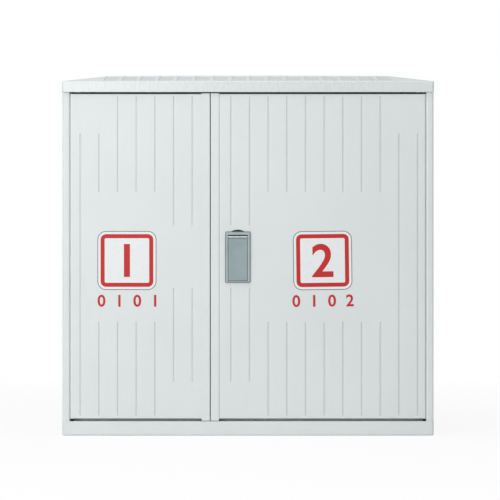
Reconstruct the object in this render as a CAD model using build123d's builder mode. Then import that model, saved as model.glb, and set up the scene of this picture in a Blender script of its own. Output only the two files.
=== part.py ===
from build123d import *
from math import acos, atan2, cos, pi, radians, sin, tan
import os

os.makedirs("parts", exist_ok=True)

# Overall size: the front faces -Y, and the base stands on Z = 0 around the origin
cabinet_width = 960.0
cabinet_depth = 380.0
base_height = 37.0
base_gap = 7.0
door_height = 838.0
head_gap = 4.5
fascia_height = 28.5
roof_rise = 30.0
wall = 4.0

# How far the roof and the base stand out from the walls
side_inset = 0.5
roof_overhang = 6.0
base_overhang = 3.0

# Corner posts and the lips that the doors close on
post_width = 20.0
lip_depth = 26.0
lip_width = 20.0
lip_height = 21.0
centre_post_width = 50.0
centre_post_depth = 18.0

# Doors and their hinges
meeting_x = -97.45
meeting_gap = 2.5
hinge_gap = 0.6
door_corner = 5.0
door_depth = 22.0
door_wall = 3.5
rib_thickness = 3.0
rib_depth = 10.0
pin_diameter = 5.0
running_clearance = 0.05
boss_height = 16.0
pin_engagement = 14.0
stile_width = 21.2
stile_proud = 0.8
stile_drop = 5.5
stile_rise = 1.5
seal_width = 10.0
seal_height = 3.2

# Grooves pressed in the faces
groove_width = 3.2
groove_depth = 1.9
groove_taper = 12.0
groove_pitch = 48.2
left_groove_margin = 26.5
right_groove_margin = 21.5

# Lock, its place on the right door and its rack drive
lock_x = -26.3
lock_z = 461.0
bezel_width = 65.0
bezel_height = 132.0
bezel_proud = 4.0
bezel_border = 6.7
pan_depth = 26.0
pan_wall = 2.0
cover_barrel = 5.0
cover_pin_diameter = 2.4
gear_module = 1.5
gear_teeth = 14
gear_width = 6.0
rack_addendum = 1.2
rack_dedendum = 1.9
rack_backlash = 0.3
bar_width = 8.0
rod_reach = 399.0
slide_clearance = 0.3
spindle_diameter = 10.0
spindle_square = 7.0
bolt_diameter = 8.0

# Equipment inside
plate_width = 780.0
plate_bottom = 150.0
plate_height = 665.0
plate_front = 118.0
plate_gauge = 2.0
busbar_height = 30.0
busbar_thickness = 5.0
busbar_step = 20.0
busbar_pitch = 45.0
top_bar_y = 60.0
top_bar_z = 760.0
breaker_top = 565.0
link_width = 15.0
link_gauge = 3.0
cable_pitch = 150.0
cable_count = 5
cable_diameter = 50.0
cable_y = -8.0

# Roof screws: two in front through the header, two behind through the back panel's flange
roof_screw_x = 400.0
roof_screw_hole = 5.0

# Places worked out from the sizes above
body_half = cabinet_width / 2 - side_inset
body_front = -(cabinet_depth / 2 - roof_overhang)
body_back = -body_front
roof_screw_y = body_back - 16.0
base_depth = cabinet_depth - 2 * (roof_overhang - base_overhang)
door_bottom = base_height + base_gap
door_top = door_bottom + door_height
fascia_bottom = door_top + head_gap
eave_z = fascia_bottom + fascia_height
ridge_z = eave_z + roof_rise
door_back = body_front + door_depth
skin_back = body_front + wall
lip_front = body_front + lip_depth
lip_back = lip_front + wall
hinge_edge = cabinet_width / 2 - post_width - hinge_gap
axis_x = hinge_edge - door_corner
axis_y = body_front + door_corner
lip_inner = cabinet_width / 2 - post_width - lip_width
left_free = meeting_x - meeting_gap / 2
right_free = meeting_x + meeting_gap / 2
front_face = Plane.XZ.offset(-body_front)


def save(piece, name):
    """Label a finished piece and write its file."""
    piece.part.label = name
    export_step(piece.part, f"parts/{name}.step")


def block(x_span, y_span, z_span, mode=Mode.ADD):
    """Add or cut the block that fills three spans, each a pair of ends."""
    middle = [(low + high) / 2 for low, high in (x_span, y_span, z_span)]
    size = [abs(high - low) for low, high in (x_span, y_span, z_span)]
    with Locations(tuple(middle)):
        Box(*size, mode=mode)


def upright(x, y, bottom, height, radius, mode=Mode.ADD):
    """Add or cut a vertical cylinder that starts at a given height."""
    with Locations((x, y, bottom)):
        Cylinder(radius, height, align=(Align.CENTER, Align.CENTER, Align.MIN), mode=mode)


def cut_grooves(face_plane, rows, inward=-1):
    """Cut vertical grooves in a face; each row is its place across and its two ends."""
    with BuildSketch(face_plane) as slots:
        for across, low, high in rows:
            with Locations((across, (low + high) / 2)):
                SlotOverall(high - low, groove_width, rotation=90)
    extrude(slots.sketch, amount=inward * groove_depth, taper=groove_taper, mode=Mode.SUBTRACT)


# Base frame: a channel ring with a ledge on top, a foot flange and gussets between them
base_wall = 5.0
base_ledge = 50.0
base_flange = 90.0
base_corner = 8.0
base_round = 5.0
gusset_pitch = 118.0
anchor_inset = 65.0
anchor_diameter = 14.0
foot_bolt_ys = (-100.0, 100.0)
bolt_inset = 19.5
bolt_shank = 8.0
ledge_bottom = base_height - wall
anchor_x = cabinet_width / 2 - anchor_inset
anchor_y = base_depth / 2 - anchor_inset
post_room = centre_post_width / 2 + slide_clearance
lip_spans = (
    (-lip_inner, meeting_x - post_room),
    (meeting_x + post_room, lip_inner),
)
bolt_x = left_free - 11.3
bolt_y = body_front + 13.0
strike_half = bolt_diameter / 2 + 1.5
strike = ((bolt_x - strike_half, bolt_x + strike_half), (bolt_y - strike_half, bolt_y + strike_half))
with BuildPart() as base_frame:
    with BuildSketch():
        RectangleRounded(cabinet_width, base_depth, base_corner)
    extrude(amount=base_height)
    fillet(base_frame.faces().sort_by(Axis.Z)[0].edges(), radius=base_round)
    with BuildSketch(Plane.XY.offset(base_wall)):
        Rectangle(cabinet_width - 2 * base_wall, base_depth - 2 * base_wall)
    extrude(amount=ledge_bottom - base_wall, mode=Mode.SUBTRACT)
    with BuildSketch():
        Rectangle(cabinet_width - 2 * base_flange, base_depth - 2 * base_flange)
    extrude(amount=base_wall, mode=Mode.SUBTRACT)
    with BuildSketch(Plane.XY.offset(ledge_bottom)):
        Rectangle(cabinet_width - 2 * base_ledge, base_depth - 2 * base_ledge)
    extrude(amount=wall, mode=Mode.SUBTRACT)
    gusset_length = base_ledge - base_wall
    with BuildSketch(Plane.XY.offset(base_wall)):
        with GridLocations(gusset_pitch, base_depth - base_wall - base_ledge, 8, 2):
            Rectangle(wall, gusset_length)
        with GridLocations(cabinet_width - base_wall - base_ledge, gusset_pitch, 2, 3):
            Rectangle(gusset_length, wall)
    extrude(amount=ledge_bottom - base_wall)
    with GridLocations(2 * anchor_x, 2 * anchor_y, 2, 2):
        Cylinder(anchor_diameter / 2, 3 * base_wall, mode=Mode.SUBTRACT)
    for side in (-1, 1):
        upright(side * axis_x, axis_y, ledge_bottom, wall, pin_diameter / 2, Mode.SUBTRACT)
        for y in foot_bolt_ys:
            upright(side * (body_half - bolt_inset), y, ledge_bottom, wall, bolt_shank / 2, Mode.SUBTRACT)
    block(*strike, (ledge_bottom, base_height), Mode.SUBTRACT)
save(base_frame, "base_frame")

# Base stops: strips bonded along the ledge on either side of the centre post
with BuildPart() as base_stops:
    for x_span in lip_spans:
        block(x_span, (lip_front, lip_back), (base_height, base_height + lip_height))
save(base_stops, "base_stops")

# Side panels: corner post, door lip, skin and back return in one moulding
vent_length = 160.0
vent_height = 90.0
vent_levels = (235.0, 780.0)
blades = 6
blade_rise = 7.0
blade_pitch = (vent_height - 8) / blades
wall_top = eave_z - 10.0
half_wall = wall / 2
back_return = 30.0
tongue_half = 150.0
foot_width = 29.5
foot_span = (-140.0, 160.0)
groove_low = door_bottom + 7.6
groove_high = door_top - 7.0
back_bolts = [base_height + 83 + 233 * step for step in range(4)]
for side, hand in ((-1, "left"), (1, "right")):
    with BuildPart() as side_panel:
        skin_x = side * (body_half - half_wall)
        post_x = side * (cabinet_width / 2 - post_width + half_wall)
        with BuildSketch(Plane.XY.offset(base_height)):
            with BuildLine():
                FilletPolyline(
                    (side * (lip_inner + half_wall), lip_back + 10),
                    (side * (lip_inner + half_wall), lip_front + half_wall),
                    (post_x, lip_front + half_wall),
                    (post_x, body_front + half_wall),
                    (skin_x, body_front + half_wall),
                    (skin_x, body_back - half_wall),
                    (side * (body_half - back_return), body_back - half_wall),
                    radius=[3, 3, door_corner - half_wall, 4, 6],
                )
            trace(line_width=wall)
        extrude(amount=fascia_bottom - base_height)
        inner_x = side * (body_half - wall)
        tongue = (inner_x, inner_x - side * wall)
        block(tongue, (-tongue_half, tongue_half), (fascia_bottom - 20, wall_top))
        foot = (inner_x, inner_x - side * foot_width)
        block(foot, foot_span, (base_height, base_height + wall))
        for y in foot_bolt_ys:
            upright(side * (body_half - bolt_inset), y, base_height, wall, bolt_shank / 2, Mode.SUBTRACT)
        for level in vent_levels:
            half = vent_height / 2
            opening = (side * body_half, inner_x)
            block(opening, (-vent_length / 2, vent_length / 2), (level - half, level + half), Mode.SUBTRACT)
        for z in back_bolts:
            with Locations(Location((side * (body_half - bolt_inset), body_back - half_wall, z), (90, 0, 0))):
                Cylinder(bolt_shank / 2, wall, mode=Mode.SUBTRACT)
        low, high = vent_levels
        ends = (low + vent_height / 2 + 25, high - vent_height / 2 - 25)
        rows = [(step * groove_pitch, *ends) for step in (-1, 0, 1)]
        rows += [(step * groove_pitch, groove_low, groove_high) for step in (-3, -2, 2, 3)]
        cut_grooves(Plane.YZ.offset(side * body_half), rows, inward=-side)
    save(side_panel, f"{hand}_side_panel")

    # Ventilation inserts, clipped in from the inside, with rain-shedding blades
    with BuildPart() as vents:
        for level in vent_levels:
            with BuildSketch(Plane(origin=(inner_x, 0, level), x_dir=(0, 1, 0), z_dir=(1, 0, 0))):
                Rectangle(vent_length + 16, vent_height + 16)
                Rectangle(vent_length - 8, vent_height - 8, mode=Mode.SUBTRACT)
            extrude(amount=-side * 2)
            with BuildSketch(Plane(origin=(inner_x, 0, level), x_dir=(0, 1, 0), z_dir=(1, 0, 0))):
                Rectangle(vent_length, vent_height)
                Rectangle(vent_length - 8, vent_height - 8, mode=Mode.SUBTRACT)
            extrude(amount=side * (wall - 0.5))
            with BuildSketch(Plane.XZ.offset(vent_length / 2 - 3.5)):
                for step in range(blades):
                    foot_z = level - vent_height / 2 + 3 + step * blade_pitch
                    with BuildLine():
                        Polyline(
                            (inner_x + side * (wall - 0.5), foot_z),
                            (inner_x - side * 2, foot_z + blade_rise),
                            (inner_x - side * 2, foot_z + blade_rise + 2),
                            (inner_x + side * (wall - 0.5), foot_z + 2),
                            close=True,
                        )
                    make_face()
            extrude(amount=-(vent_length - 7))
    save(vents, f"{hand}_vents")

# Back panel: a thin pressed field that stands out between the two back returns
field_half = body_half - back_return - 1
back_half = body_half - 8.5
with BuildPart() as back_panel:
    block((-back_half, back_half), (body_back - 2 * wall, body_back - wall), (base_height, wall_top))
    block((-field_half, field_half), (body_back - 2 * wall, body_back), (base_height, fascia_bottom))
    pocket = (-(field_half - wall), field_half - wall)
    pocket_z = (base_height + 20, fascia_bottom - 24)
    block(pocket, (body_back - 2 * wall, body_back - wall), pocket_z, Mode.SUBTRACT)
    flange_half = roof_screw_x + 20
    flange_y = (roof_screw_y - 18, body_back - 2 * wall)
    block((-flange_half, flange_half), flange_y, (fascia_bottom, fascia_bottom + wall))
    rows = [(step * groove_pitch, groove_low, groove_high) for step in range(-9, 10)]
    cut_grooves(Plane.XZ.offset(-body_back), rows, inward=1)
    for x in (-roof_screw_x, roof_screw_x):
        upright(x, roof_screw_y, fascia_bottom, wall, roof_screw_hole / 2, Mode.SUBTRACT)
    for side in (-1, 1):
        for z in back_bolts:
            place = (side * (body_half - bolt_inset), body_back - 1.5 * wall, z)
            with Locations(Location(place, (90, 0, 0))):
                Cylinder(bolt_shank / 2, wall, mode=Mode.SUBTRACT)
save(back_panel, "back_panel")

# Roof: a hipped lid with a drip skirt, recessed panels between ribs and four screw bosses
roof_corner = 6.0
roof_skin = 5.0
eave_step = 3.0
hip_run = 114.0
crown_drop = 4.3
crest = 1.0
ridge_flat = 20.0
roof_rib_pitch = 47.7
roof_rib_width = 10.0
roof_panels = 16
roof_recess = 2.2
eave_half = cabinet_depth / 2 - eave_step
slope_run = eave_half - ridge_flat / 2
slope_angle = atan2(roof_rise, slope_run)
with BuildPart() as roof_cover:
    with BuildSketch(Plane.XY.offset(fascia_bottom)):
        RectangleRounded(cabinet_width, cabinet_depth, roof_corner)
    extrude(amount=fascia_height)
    fillet(roof_cover.faces().sort_by(Axis.Z)[-1].edges(), radius=eave_step - 0.5)
    chamfer(roof_cover.faces().sort_by(Axis.Z)[0].edges(), length=1.2)
    with BuildSketch(Plane.XY.offset(eave_z)):
        Rectangle(cabinet_width - 2 * eave_step, 2 * eave_half)
    growth = (roof_rise + crest) / roof_rise
    with BuildSketch(Plane.XY.offset(ridge_z + crest)):
        Rectangle(cabinet_width - 2 * eave_step - 2 * hip_run * growth, 2 * (eave_half - slope_run * growth))
    loft(ruled=True)
    with BuildSketch(Plane.XZ):
        with BuildLine():
            crown = [(side * cabinet_width / 2, ridge_z - crown_drop) for side in (-1, 1)]
            ThreePointArc(crown[0], (0, ridge_z), crown[1])
            Polyline(crown[1], (cabinet_width / 2, 0), (-cabinet_width / 2, 0), crown[0])
        make_face()
    extrude(amount=cabinet_depth, both=True, mode=Mode.INTERSECT)
    for direction in (-1, 1):
        slope = Plane(
            origin=(0, direction * (eave_half + ridge_flat / 2) / 2, eave_z + roof_rise / 2),
            x_dir=(1, 0, 0),
            z_dir=(0, direction * sin(slope_angle), cos(slope_angle)),
        )
        with BuildSketch(slope):
            with GridLocations(roof_rib_pitch, 0, roof_panels, 1):
                Rectangle(roof_rib_pitch - roof_rib_width, slope_run - 34)
        extrude(amount=-roof_recess, taper=30, mode=Mode.SUBTRACT)
    with BuildSketch(Plane.XY.offset(fascia_bottom)):
        Rectangle(cabinet_width - 2 * wall, cabinet_depth - 2 * wall)
    extrude(amount=fascia_height - roof_skin, mode=Mode.SUBTRACT)
    with BuildSketch(Plane.XY.offset(eave_z - roof_skin)):
        Rectangle(cabinet_width - 2 * wall, cabinet_depth - 2 * wall)
    with BuildSketch(Plane.XY.offset(ridge_z - roof_skin)):
        Rectangle(cabinet_width - 2 * wall - 2 * hip_run, ridge_flat - 6)
    loft(ruled=True, mode=Mode.SUBTRACT)
    for x in (-roof_screw_x, roof_screw_x):
        for y in (-roof_screw_y, roof_screw_y):
            start = fascia_bottom + wall
            upright(x, y, start, eave_z - 1 - start, 8)
            upright(x, y, start, 12, roof_screw_hole / 2, Mode.SUBTRACT)
save(roof_cover, "roof_cover")

# Roof screws, driven up from below the header and the back flange
with BuildPart() as roof_screws:
    for x in (-roof_screw_x, roof_screw_x):
        for y in (-roof_screw_y, roof_screw_y):
            upright(x, y, fascia_bottom - 3, 3, 6)
            upright(x, y, fascia_bottom, 14, roof_screw_hole / 2)
save(roof_screws, "roof_screws")

# Front header: channel behind the fascia that holds the upper pins and the top door lip
header_half = body_half - wall
with BuildPart() as front_header:
    with BuildSketch(Plane.YZ.offset(-header_half)):
        with BuildLine():
            FilletPolyline(
                (body_front + half_wall, wall_top),
                (body_front + half_wall, fascia_bottom + half_wall),
                (lip_back + half_wall, fascia_bottom + half_wall),
                (lip_back + half_wall, wall_top),
                radius=2.5,
            )
        trace(line_width=wall)
    extrude(amount=2 * header_half)
    for x_span in lip_spans:
        block(x_span, (lip_front, lip_back), (fascia_bottom - lip_height, fascia_bottom + half_wall))
    for side in (-1, 1):
        upright(side * axis_x, axis_y, fascia_bottom, wall, pin_diameter / 2, Mode.SUBTRACT)
        upright(side * roof_screw_x, -roof_screw_y, fascia_bottom, wall, roof_screw_hole / 2, Mode.SUBTRACT)
        notch = (side * header_half, side * (header_half - wall))
        notch_y = (-tongue_half - slide_clearance, lip_back + wall)
        block(notch, notch_y, (fascia_bottom, wall_top), Mode.SUBTRACT)
    block(*strike, (fascia_bottom, fascia_bottom + wall), Mode.SUBTRACT)
save(front_header, "front_header")

# Centre post: fixed mullion that both doors close on
with BuildPart() as centre_post:
    post_half = centre_post_width / 2 - half_wall
    with BuildSketch(Plane.XY.offset(base_height)):
        with BuildLine():
            FilletPolyline(
                (meeting_x - post_half, lip_front + centre_post_depth),
                (meeting_x - post_half, lip_front + half_wall),
                (meeting_x + post_half, lip_front + half_wall),
                (meeting_x + post_half, lip_front + centre_post_depth),
                radius=3,
            )
        trace(line_width=wall)
    extrude(amount=fascia_bottom - base_height)
save(centre_post, "centre_post")

# Door seals: one closed ring on the lips of each opening
seal_edge = 1.5
seal_spacing = 0.6
seal_low = door_bottom + 2.0
seal_high = fascia_bottom - 0.5
for side, hand in ((-1, "left"), (1, "right")):
    ends = (side * (hinge_edge - seal_edge), meeting_x + side * seal_spacing / 2)
    ring_width = abs(ends[1] - ends[0])
    inner_low = seal_low + seal_width
    inner_high = seal_high - seal_width - head_gap
    with BuildPart() as seal:
        with BuildSketch(Plane.XZ.offset(-lip_front)):
            with Locations(((ends[0] + ends[1]) / 2, (seal_low + seal_high) / 2)):
                RectangleRounded(ring_width, seal_high - seal_low, 4)
            with Locations(((ends[0] + ends[1]) / 2, (inner_low + inner_high) / 2)):
                Rectangle(ring_width - 2 * seal_width, inner_high - inner_low, mode=Mode.SUBTRACT)
        extrude(amount=seal_height)
        chamfer(seal.faces().sort_by(Axis.Y)[0].edges(), length=1.2)
    save(seal, f"{hand}_door_seal")

# Hinge pins: shouldered, held in the base ledge and the header, turning in the door bosses
pin_shoulder = 0.8 * pin_diameter
with BuildPart() as hinge_pins:
    for side in (-1, 1):
        upright(side * axis_x, axis_y, ledge_bottom, wall + base_gap + pin_engagement, pin_diameter / 2)
        upright(side * axis_x, axis_y, base_height, base_gap - slide_clearance, pin_shoulder)
        upper = door_top - pin_engagement
        upright(side * axis_x, axis_y, upper, pin_engagement + head_gap + wall, pin_diameter / 2)
        shoulder = head_gap - slide_clearance
        upright(side * axis_x, axis_y, fascia_bottom - shoulder, shoulder, pin_shoulder)
save(hinge_pins, "hinge_pins")


def door_shell(part, hinge_x, free_x, rib_places):
    """Build a door's skin, rim, ribs, hinge bosses and free-edge stile in the open part."""
    inward = 1 if hinge_x < free_x else -1
    column = 0 if inward > 0 else -1
    width = abs(free_x - hinge_x)
    centre_x = (hinge_x + free_x) / 2
    with BuildSketch(Plane.XY.offset(door_bottom)) as plan:
        with Locations((centre_x, (body_front + door_back) / 2)):
            Rectangle(width, door_depth)
        fillet(plan.vertices().group_by(Axis.X)[column].sort_by(Axis.Y)[0], radius=door_corner)
        fillet(plan.vertices().group_by(Axis.X)[column].sort_by(Axis.Y)[-1], radius=3)
        fillet(plan.vertices().group_by(Axis.X)[-1 - column].sort_by(Axis.Y)[0], radius=2)
    extrude(plan.sketch, amount=door_height)
    for level in (0, -1):
        rim = part.faces().sort_by(Axis.Z)[level].edges()
        fillet([edge for edge in rim if edge.center().Y < axis_y], radius=1.5)
    with BuildSketch(Plane.XZ.offset(-skin_back)) as hollow:
        with Locations((centre_x, (door_bottom + door_top) / 2)):
            RectangleRounded(width - 2 * door_wall, door_height - 2 * door_wall, 3)
    extrude(hollow.sketch, amount=-door_depth, mode=Mode.SUBTRACT)
    rib_back = skin_back + rib_depth
    for x in rib_places:
        rib = (x - rib_thickness / 2, x + rib_thickness / 2)
        block(rib, (skin_back, rib_back), (door_bottom + door_wall, door_top - door_wall))
    inner_span = sorted((hinge_x + inward * door_wall, free_x - inward * door_wall))
    for fraction in (0.25, 0.75):
        z = door_bottom + fraction * door_height
        block(inner_span, (skin_back, rib_back), (z - rib_thickness / 2, z + rib_thickness / 2))
    pivot_x = hinge_x + inward * door_corner
    for start in (door_bottom, door_top - boss_height):
        upright(pivot_x, axis_y, start, boss_height, door_corner)
        upright(pivot_x, axis_y, start, boss_height, pin_diameter / 2 + running_clearance, Mode.SUBTRACT)
    stile = sorted((free_x, free_x - inward * stile_width))
    stile_z = (door_bottom - stile_drop, door_top + stile_rise)
    block(stile, (body_front - stile_proud, skin_back), stile_z)


groove_stop = door_top - 102.5
low_third = (groove_low, door_bottom + 249)
high_third = (door_bottom + 585, groove_high)
short_high = (door_bottom + 585, groove_stop)
mid_low = (door_bottom + 95, door_bottom + 337)
mid_high = (door_bottom + 499, groove_high)
full_run = (groove_low, groove_stop)
left_rows = [[full_run], [low_third, short_high]] + 3 * [[low_third, high_third]] + 2 * [[mid_low, mid_high]]
right_rows = 2 * [[full_run]] + 7 * [[low_third, high_third]] + 2 * [[mid_low, mid_high]]

# Left door, with a bore in each rim for its flush bolts and finger slots in its free edge
bolt_travel = 18.0
bolt_length = 90.0
knob_offset = 55.0
knob_radius = 4.0
with BuildPart() as left_door:
    door_shell(left_door, -hinge_edge, left_free, (-340, -220))
    first = -hinge_edge + left_groove_margin
    rows = []
    for step, spans in enumerate(left_rows):
        rows += [(first + step * groove_pitch, *span) for span in spans]
    cut_grooves(front_face, rows)
    for end, toward in ((door_top, 1), (door_bottom, -1)):
        bore_span = sorted((end, end - toward * door_wall))
        upright(bolt_x, bolt_y, bore_span[0], door_wall, bolt_diameter / 2 + 0.2, Mode.SUBTRACT)
        slot_z = sorted((end - toward * (knob_offset + 6), end - toward * (knob_offset - bolt_travel - 6)))
        block((left_free - door_wall, left_free), (bolt_y - 4.5, bolt_y + 4.5), slot_z, Mode.SUBTRACT)
save(left_door, "left_door")

# Guides of the two flush bolts, bonded in the corner of the skin and the free rim
guide_length = 64.0
with BuildPart() as flush_bolt_guides:
    for end, toward in ((door_top, 1), (door_bottom, -1)):
        z_span = sorted((end - toward * 20, end - toward * (20 + guide_length)))
        guide_x = (bolt_x - 8, left_free - door_wall)
        block(guide_x, (skin_back, bolt_y + 8), z_span)
        upright(bolt_x, bolt_y, z_span[0], guide_length, bolt_diameter / 2 + running_clearance, Mode.SUBTRACT)
        slot_z = sorted((end - toward * (knob_offset + 5), end - toward * (knob_offset - bolt_travel - 5)))
        block((bolt_x, left_free - door_wall), (bolt_y - 4.5, bolt_y + 4.5), slot_z, Mode.SUBTRACT)
save(flush_bolt_guides, "flush_bolt_guides")

for end, toward, name in ((door_top, 1, "left_upper_bolt"), (door_bottom, -1, "left_lower_bolt")):
    with BuildPart() as flush_bolt:
        tip = end - toward * 0.5
        start = min(tip, tip - toward * bolt_length)
        upright(bolt_x, bolt_y, start, bolt_length, bolt_diameter / 2)
        chamfer(flush_bolt.edges().filter_by(GeomType.CIRCLE), length=0.8)
        with Locations(Location((bolt_x, bolt_y, end - toward * knob_offset), (0, 90, 0))):
            Cylinder(knob_radius, left_free - 0.4 - bolt_x, align=(Align.CENTER, Align.CENTER, Align.MIN))
    save(flush_bolt, name)

# Right door, with the window for the lock pan
pan_half = bezel_width / 2 - bezel_border
pan_low = lock_z - 62.2
pan_high = lock_z + 57.4
pan_back = body_front + pan_depth
window = slide_clearance + pan_wall
bezel_low = lock_z - 66.2
bezel_high = bezel_low + bezel_height
notch_half = 18.5
notch_rise = 5.0
notch_depth = 3.0
notch_foot = bezel_high - 0.5
with BuildPart() as right_door:
    door_shell(right_door, hinge_edge, right_free, (90, 210, 330))
    first = hinge_edge - right_groove_margin
    rows = []
    for step, spans in enumerate(right_rows):
        rows += [(first - step * groove_pitch, *span) for span in spans]
    cut_grooves(front_face, rows)
    window_x = (lock_x - pan_half - window, lock_x + pan_half + window)
    block(window_x, (body_front, skin_back), (pan_low - window, pan_high + window), Mode.SUBTRACT)
    with BuildSketch(front_face):
        with BuildLine():
            ends = ((lock_x - notch_half, notch_foot), (lock_x + notch_half, notch_foot))
            ThreePointArc(ends[0], (lock_x, bezel_high + notch_rise), ends[1])
            Line(ends[1], ends[0])
        make_face()
    extrude(amount=-notch_depth, mode=Mode.SUBTRACT)
save(right_door, "right_door")

# Lock frame: the bezel and the recessed pan behind it
barrel_z = pan_high - 5.6
barrel_y = body_front - 1.3
bezel_plane = Plane.XZ.offset(bezel_proud - body_front)
with BuildPart() as lock_frame:
    with BuildSketch(bezel_plane):
        with Locations((lock_x, (bezel_low + bezel_high) / 2)):
            RectangleRounded(bezel_width, bezel_height, 3)
    extrude(amount=-bezel_proud)
    chamfer(lock_frame.faces().sort_by(Axis.Y)[0].edges(), length=0.8)
    tub = (lock_x - pan_half - pan_wall, lock_x + pan_half + pan_wall)
    block(tub, (body_front, pan_back), (pan_low - pan_wall, pan_high + pan_wall))
    inside = (lock_x - pan_half, lock_x + pan_half)
    block(inside, (body_front - bezel_proud, pan_back - pan_wall), (pan_low, pan_high), Mode.SUBTRACT)
    block(inside, (body_front + 1, body_front + 3), (pan_low, pan_low + 3.5))
    with Locations(Location((lock_x, pan_back, lock_z), (90, 0, 0))):
        Cylinder(spindle_diameter / 2 + 2, 3 * pan_wall, mode=Mode.SUBTRACT)
    with Locations(Location((lock_x, barrel_y, barrel_z), (0, 90, 0))):
        Cylinder(cover_pin_diameter / 2, 2 * (pan_half + pan_wall), mode=Mode.SUBTRACT)
save(lock_frame, "lock_frame")

# Flip cover: a plate that hangs from its barrel inside the bezel
cover_gap = 1.2
valley_width = 2.6
valley_depth = 2.0
cover_half = pan_half - cover_gap
cover_thickness = 3.0
cover_front = body_front - bezel_proud + 0.4
with BuildPart() as lock_cover:
    with BuildSketch(Plane.YZ.offset(lock_x - cover_half)):
        plate_middle = (cover_front + cover_thickness / 2, (pan_low + cover_gap + barrel_z) / 2)
        with Locations(plate_middle):
            Rectangle(cover_thickness, barrel_z - pan_low - cover_gap)
        with Locations((barrel_y, barrel_z)):
            Circle(cover_barrel / 2)
            Circle(cover_pin_diameter / 2 + running_clearance, mode=Mode.SUBTRACT)
    extrude(amount=2 * cover_half)
    with BuildSketch(Plane.XZ.offset(-cover_front)):
        with Locations((lock_x, barrel_z - cover_barrel / 2 - valley_width / 2)):
            Rectangle(2 * cover_half, valley_width)
    extrude(amount=-valley_depth, mode=Mode.SUBTRACT)
    low_edge = lock_cover.edges().filter_by(Axis.X).sort_by(Axis.Z)[0:2].sort_by(Axis.Y)[0]
    fillet(low_edge, radius=1)
save(lock_cover, "lock_cover")

with BuildPart() as lock_cover_pin:
    with Locations(Location((lock_x, barrel_y, barrel_z), (0, 90, 0))):
        Cylinder(cover_pin_diameter / 2, 2 * (pan_half + pan_wall))
save(lock_cover_pin, "lock_cover_pin")


def along_y(start, length, radius, mode=Mode.ADD):
    """Add or cut a cylinder on the lock's spindle axis, from one depth towards the back."""
    with Locations(Location((lock_x, start, lock_z), (-90, 0, 0))):
        Cylinder(radius, length, align=(Align.CENTER, Align.CENTER, Align.MIN), mode=mode)


# Gear places, counted back from the pan: case plate, pinion with both racks, then case cover
gear_front = lip_back + 2.0
gear_back = gear_front + gear_width
cover_plate_y = gear_back + slide_clearance
cover_plate_gauge = 2.0
bush_radius = spindle_diameter / 2 + 2
stem_radius = 3.0

# Handle: tee grip, hub, round journal, square for the pinion and a threaded end
grip_length = 44.0
grip_width = 11.0
hub_front = pan_back - 10.0
hub_back = pan_back - pan_wall - 1.5 - slide_clearance
with BuildPart() as lock_handle:
    with BuildSketch(Plane.XZ.offset(-(body_front + 3.5))):
        with Locations((lock_x, lock_z)):
            SlotOverall(grip_length, grip_width)
    extrude(amount=-(hub_front - body_front - 3.5))
    fillet(lock_handle.faces().sort_by(Axis.Y)[0].edges(), radius=2)
    along_y(hub_front, hub_back - hub_front, 11)
    along_y(hub_back, gear_front - hub_back, spindle_diameter / 2)
    with BuildSketch(Plane.XZ.offset(-gear_front)):
        with Locations((lock_x, lock_z)):
            Rectangle(spindle_square, spindle_square)
    extrude(amount=-gear_width)
    along_y(gear_back, slide_clearance + cover_plate_gauge + slide_clearance + 5, stem_radius)
save(lock_handle, "lock_handle")

with BuildPart() as spindle_bush:
    along_y(pan_back - pan_wall, gear_front - pan_back + pan_wall, bush_radius)
    along_y(pan_back - pan_wall - 1.5, 1.5, bush_radius + 3)
    along_y(pan_back - 10, 40, spindle_diameter / 2 + running_clearance, Mode.SUBTRACT)
save(spindle_bush, "spindle_bush")

# Pinion with involute teeth, cut for a rack on each side
pitch_radius = gear_module * gear_teeth / 2
root_radius = pitch_radius - 1.25 * gear_module
tip_radius = pitch_radius + gear_module
pressure_angle = radians(20)
base_radius = pitch_radius * cos(pressure_angle)
involute_at_pitch = tan(pressure_angle) - pressure_angle


def flank_point(radius, side):
    """A point on one flank of the tooth that stands along +X from the gear's centre."""
    reach = acos(base_radius / radius)
    half_angle = pi / (2 * gear_teeth) + involute_at_pitch - (tan(reach) - reach)
    return (radius * cos(half_angle), side * radius * sin(half_angle))


flank_radii = [base_radius + (tip_radius - base_radius) * step / 4 for step in range(5)]
lower_flank = [flank_point(radius, -1) for radius in flank_radii]
upper_flank = [flank_point(radius, 1) for radius in reversed(flank_radii)]
tooth_foot = (root_radius - 1, lower_flank[0][1])
tooth_end = (root_radius - 1, upper_flank[-1][1])
with BuildPart() as pinion:
    with BuildSketch(Plane(origin=(lock_x, gear_front, lock_z), x_dir=(1, 0, 0), z_dir=(0, -1, 0))):
        Circle(root_radius)
        with PolarLocations(0, gear_teeth):
            Polygon(tooth_foot, *lower_flank, *upper_flank, tooth_end)
        Rectangle(spindle_square, spindle_square, mode=Mode.SUBTRACT)
    extrude(amount=-gear_width)
save(pinion, "pinion")

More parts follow.
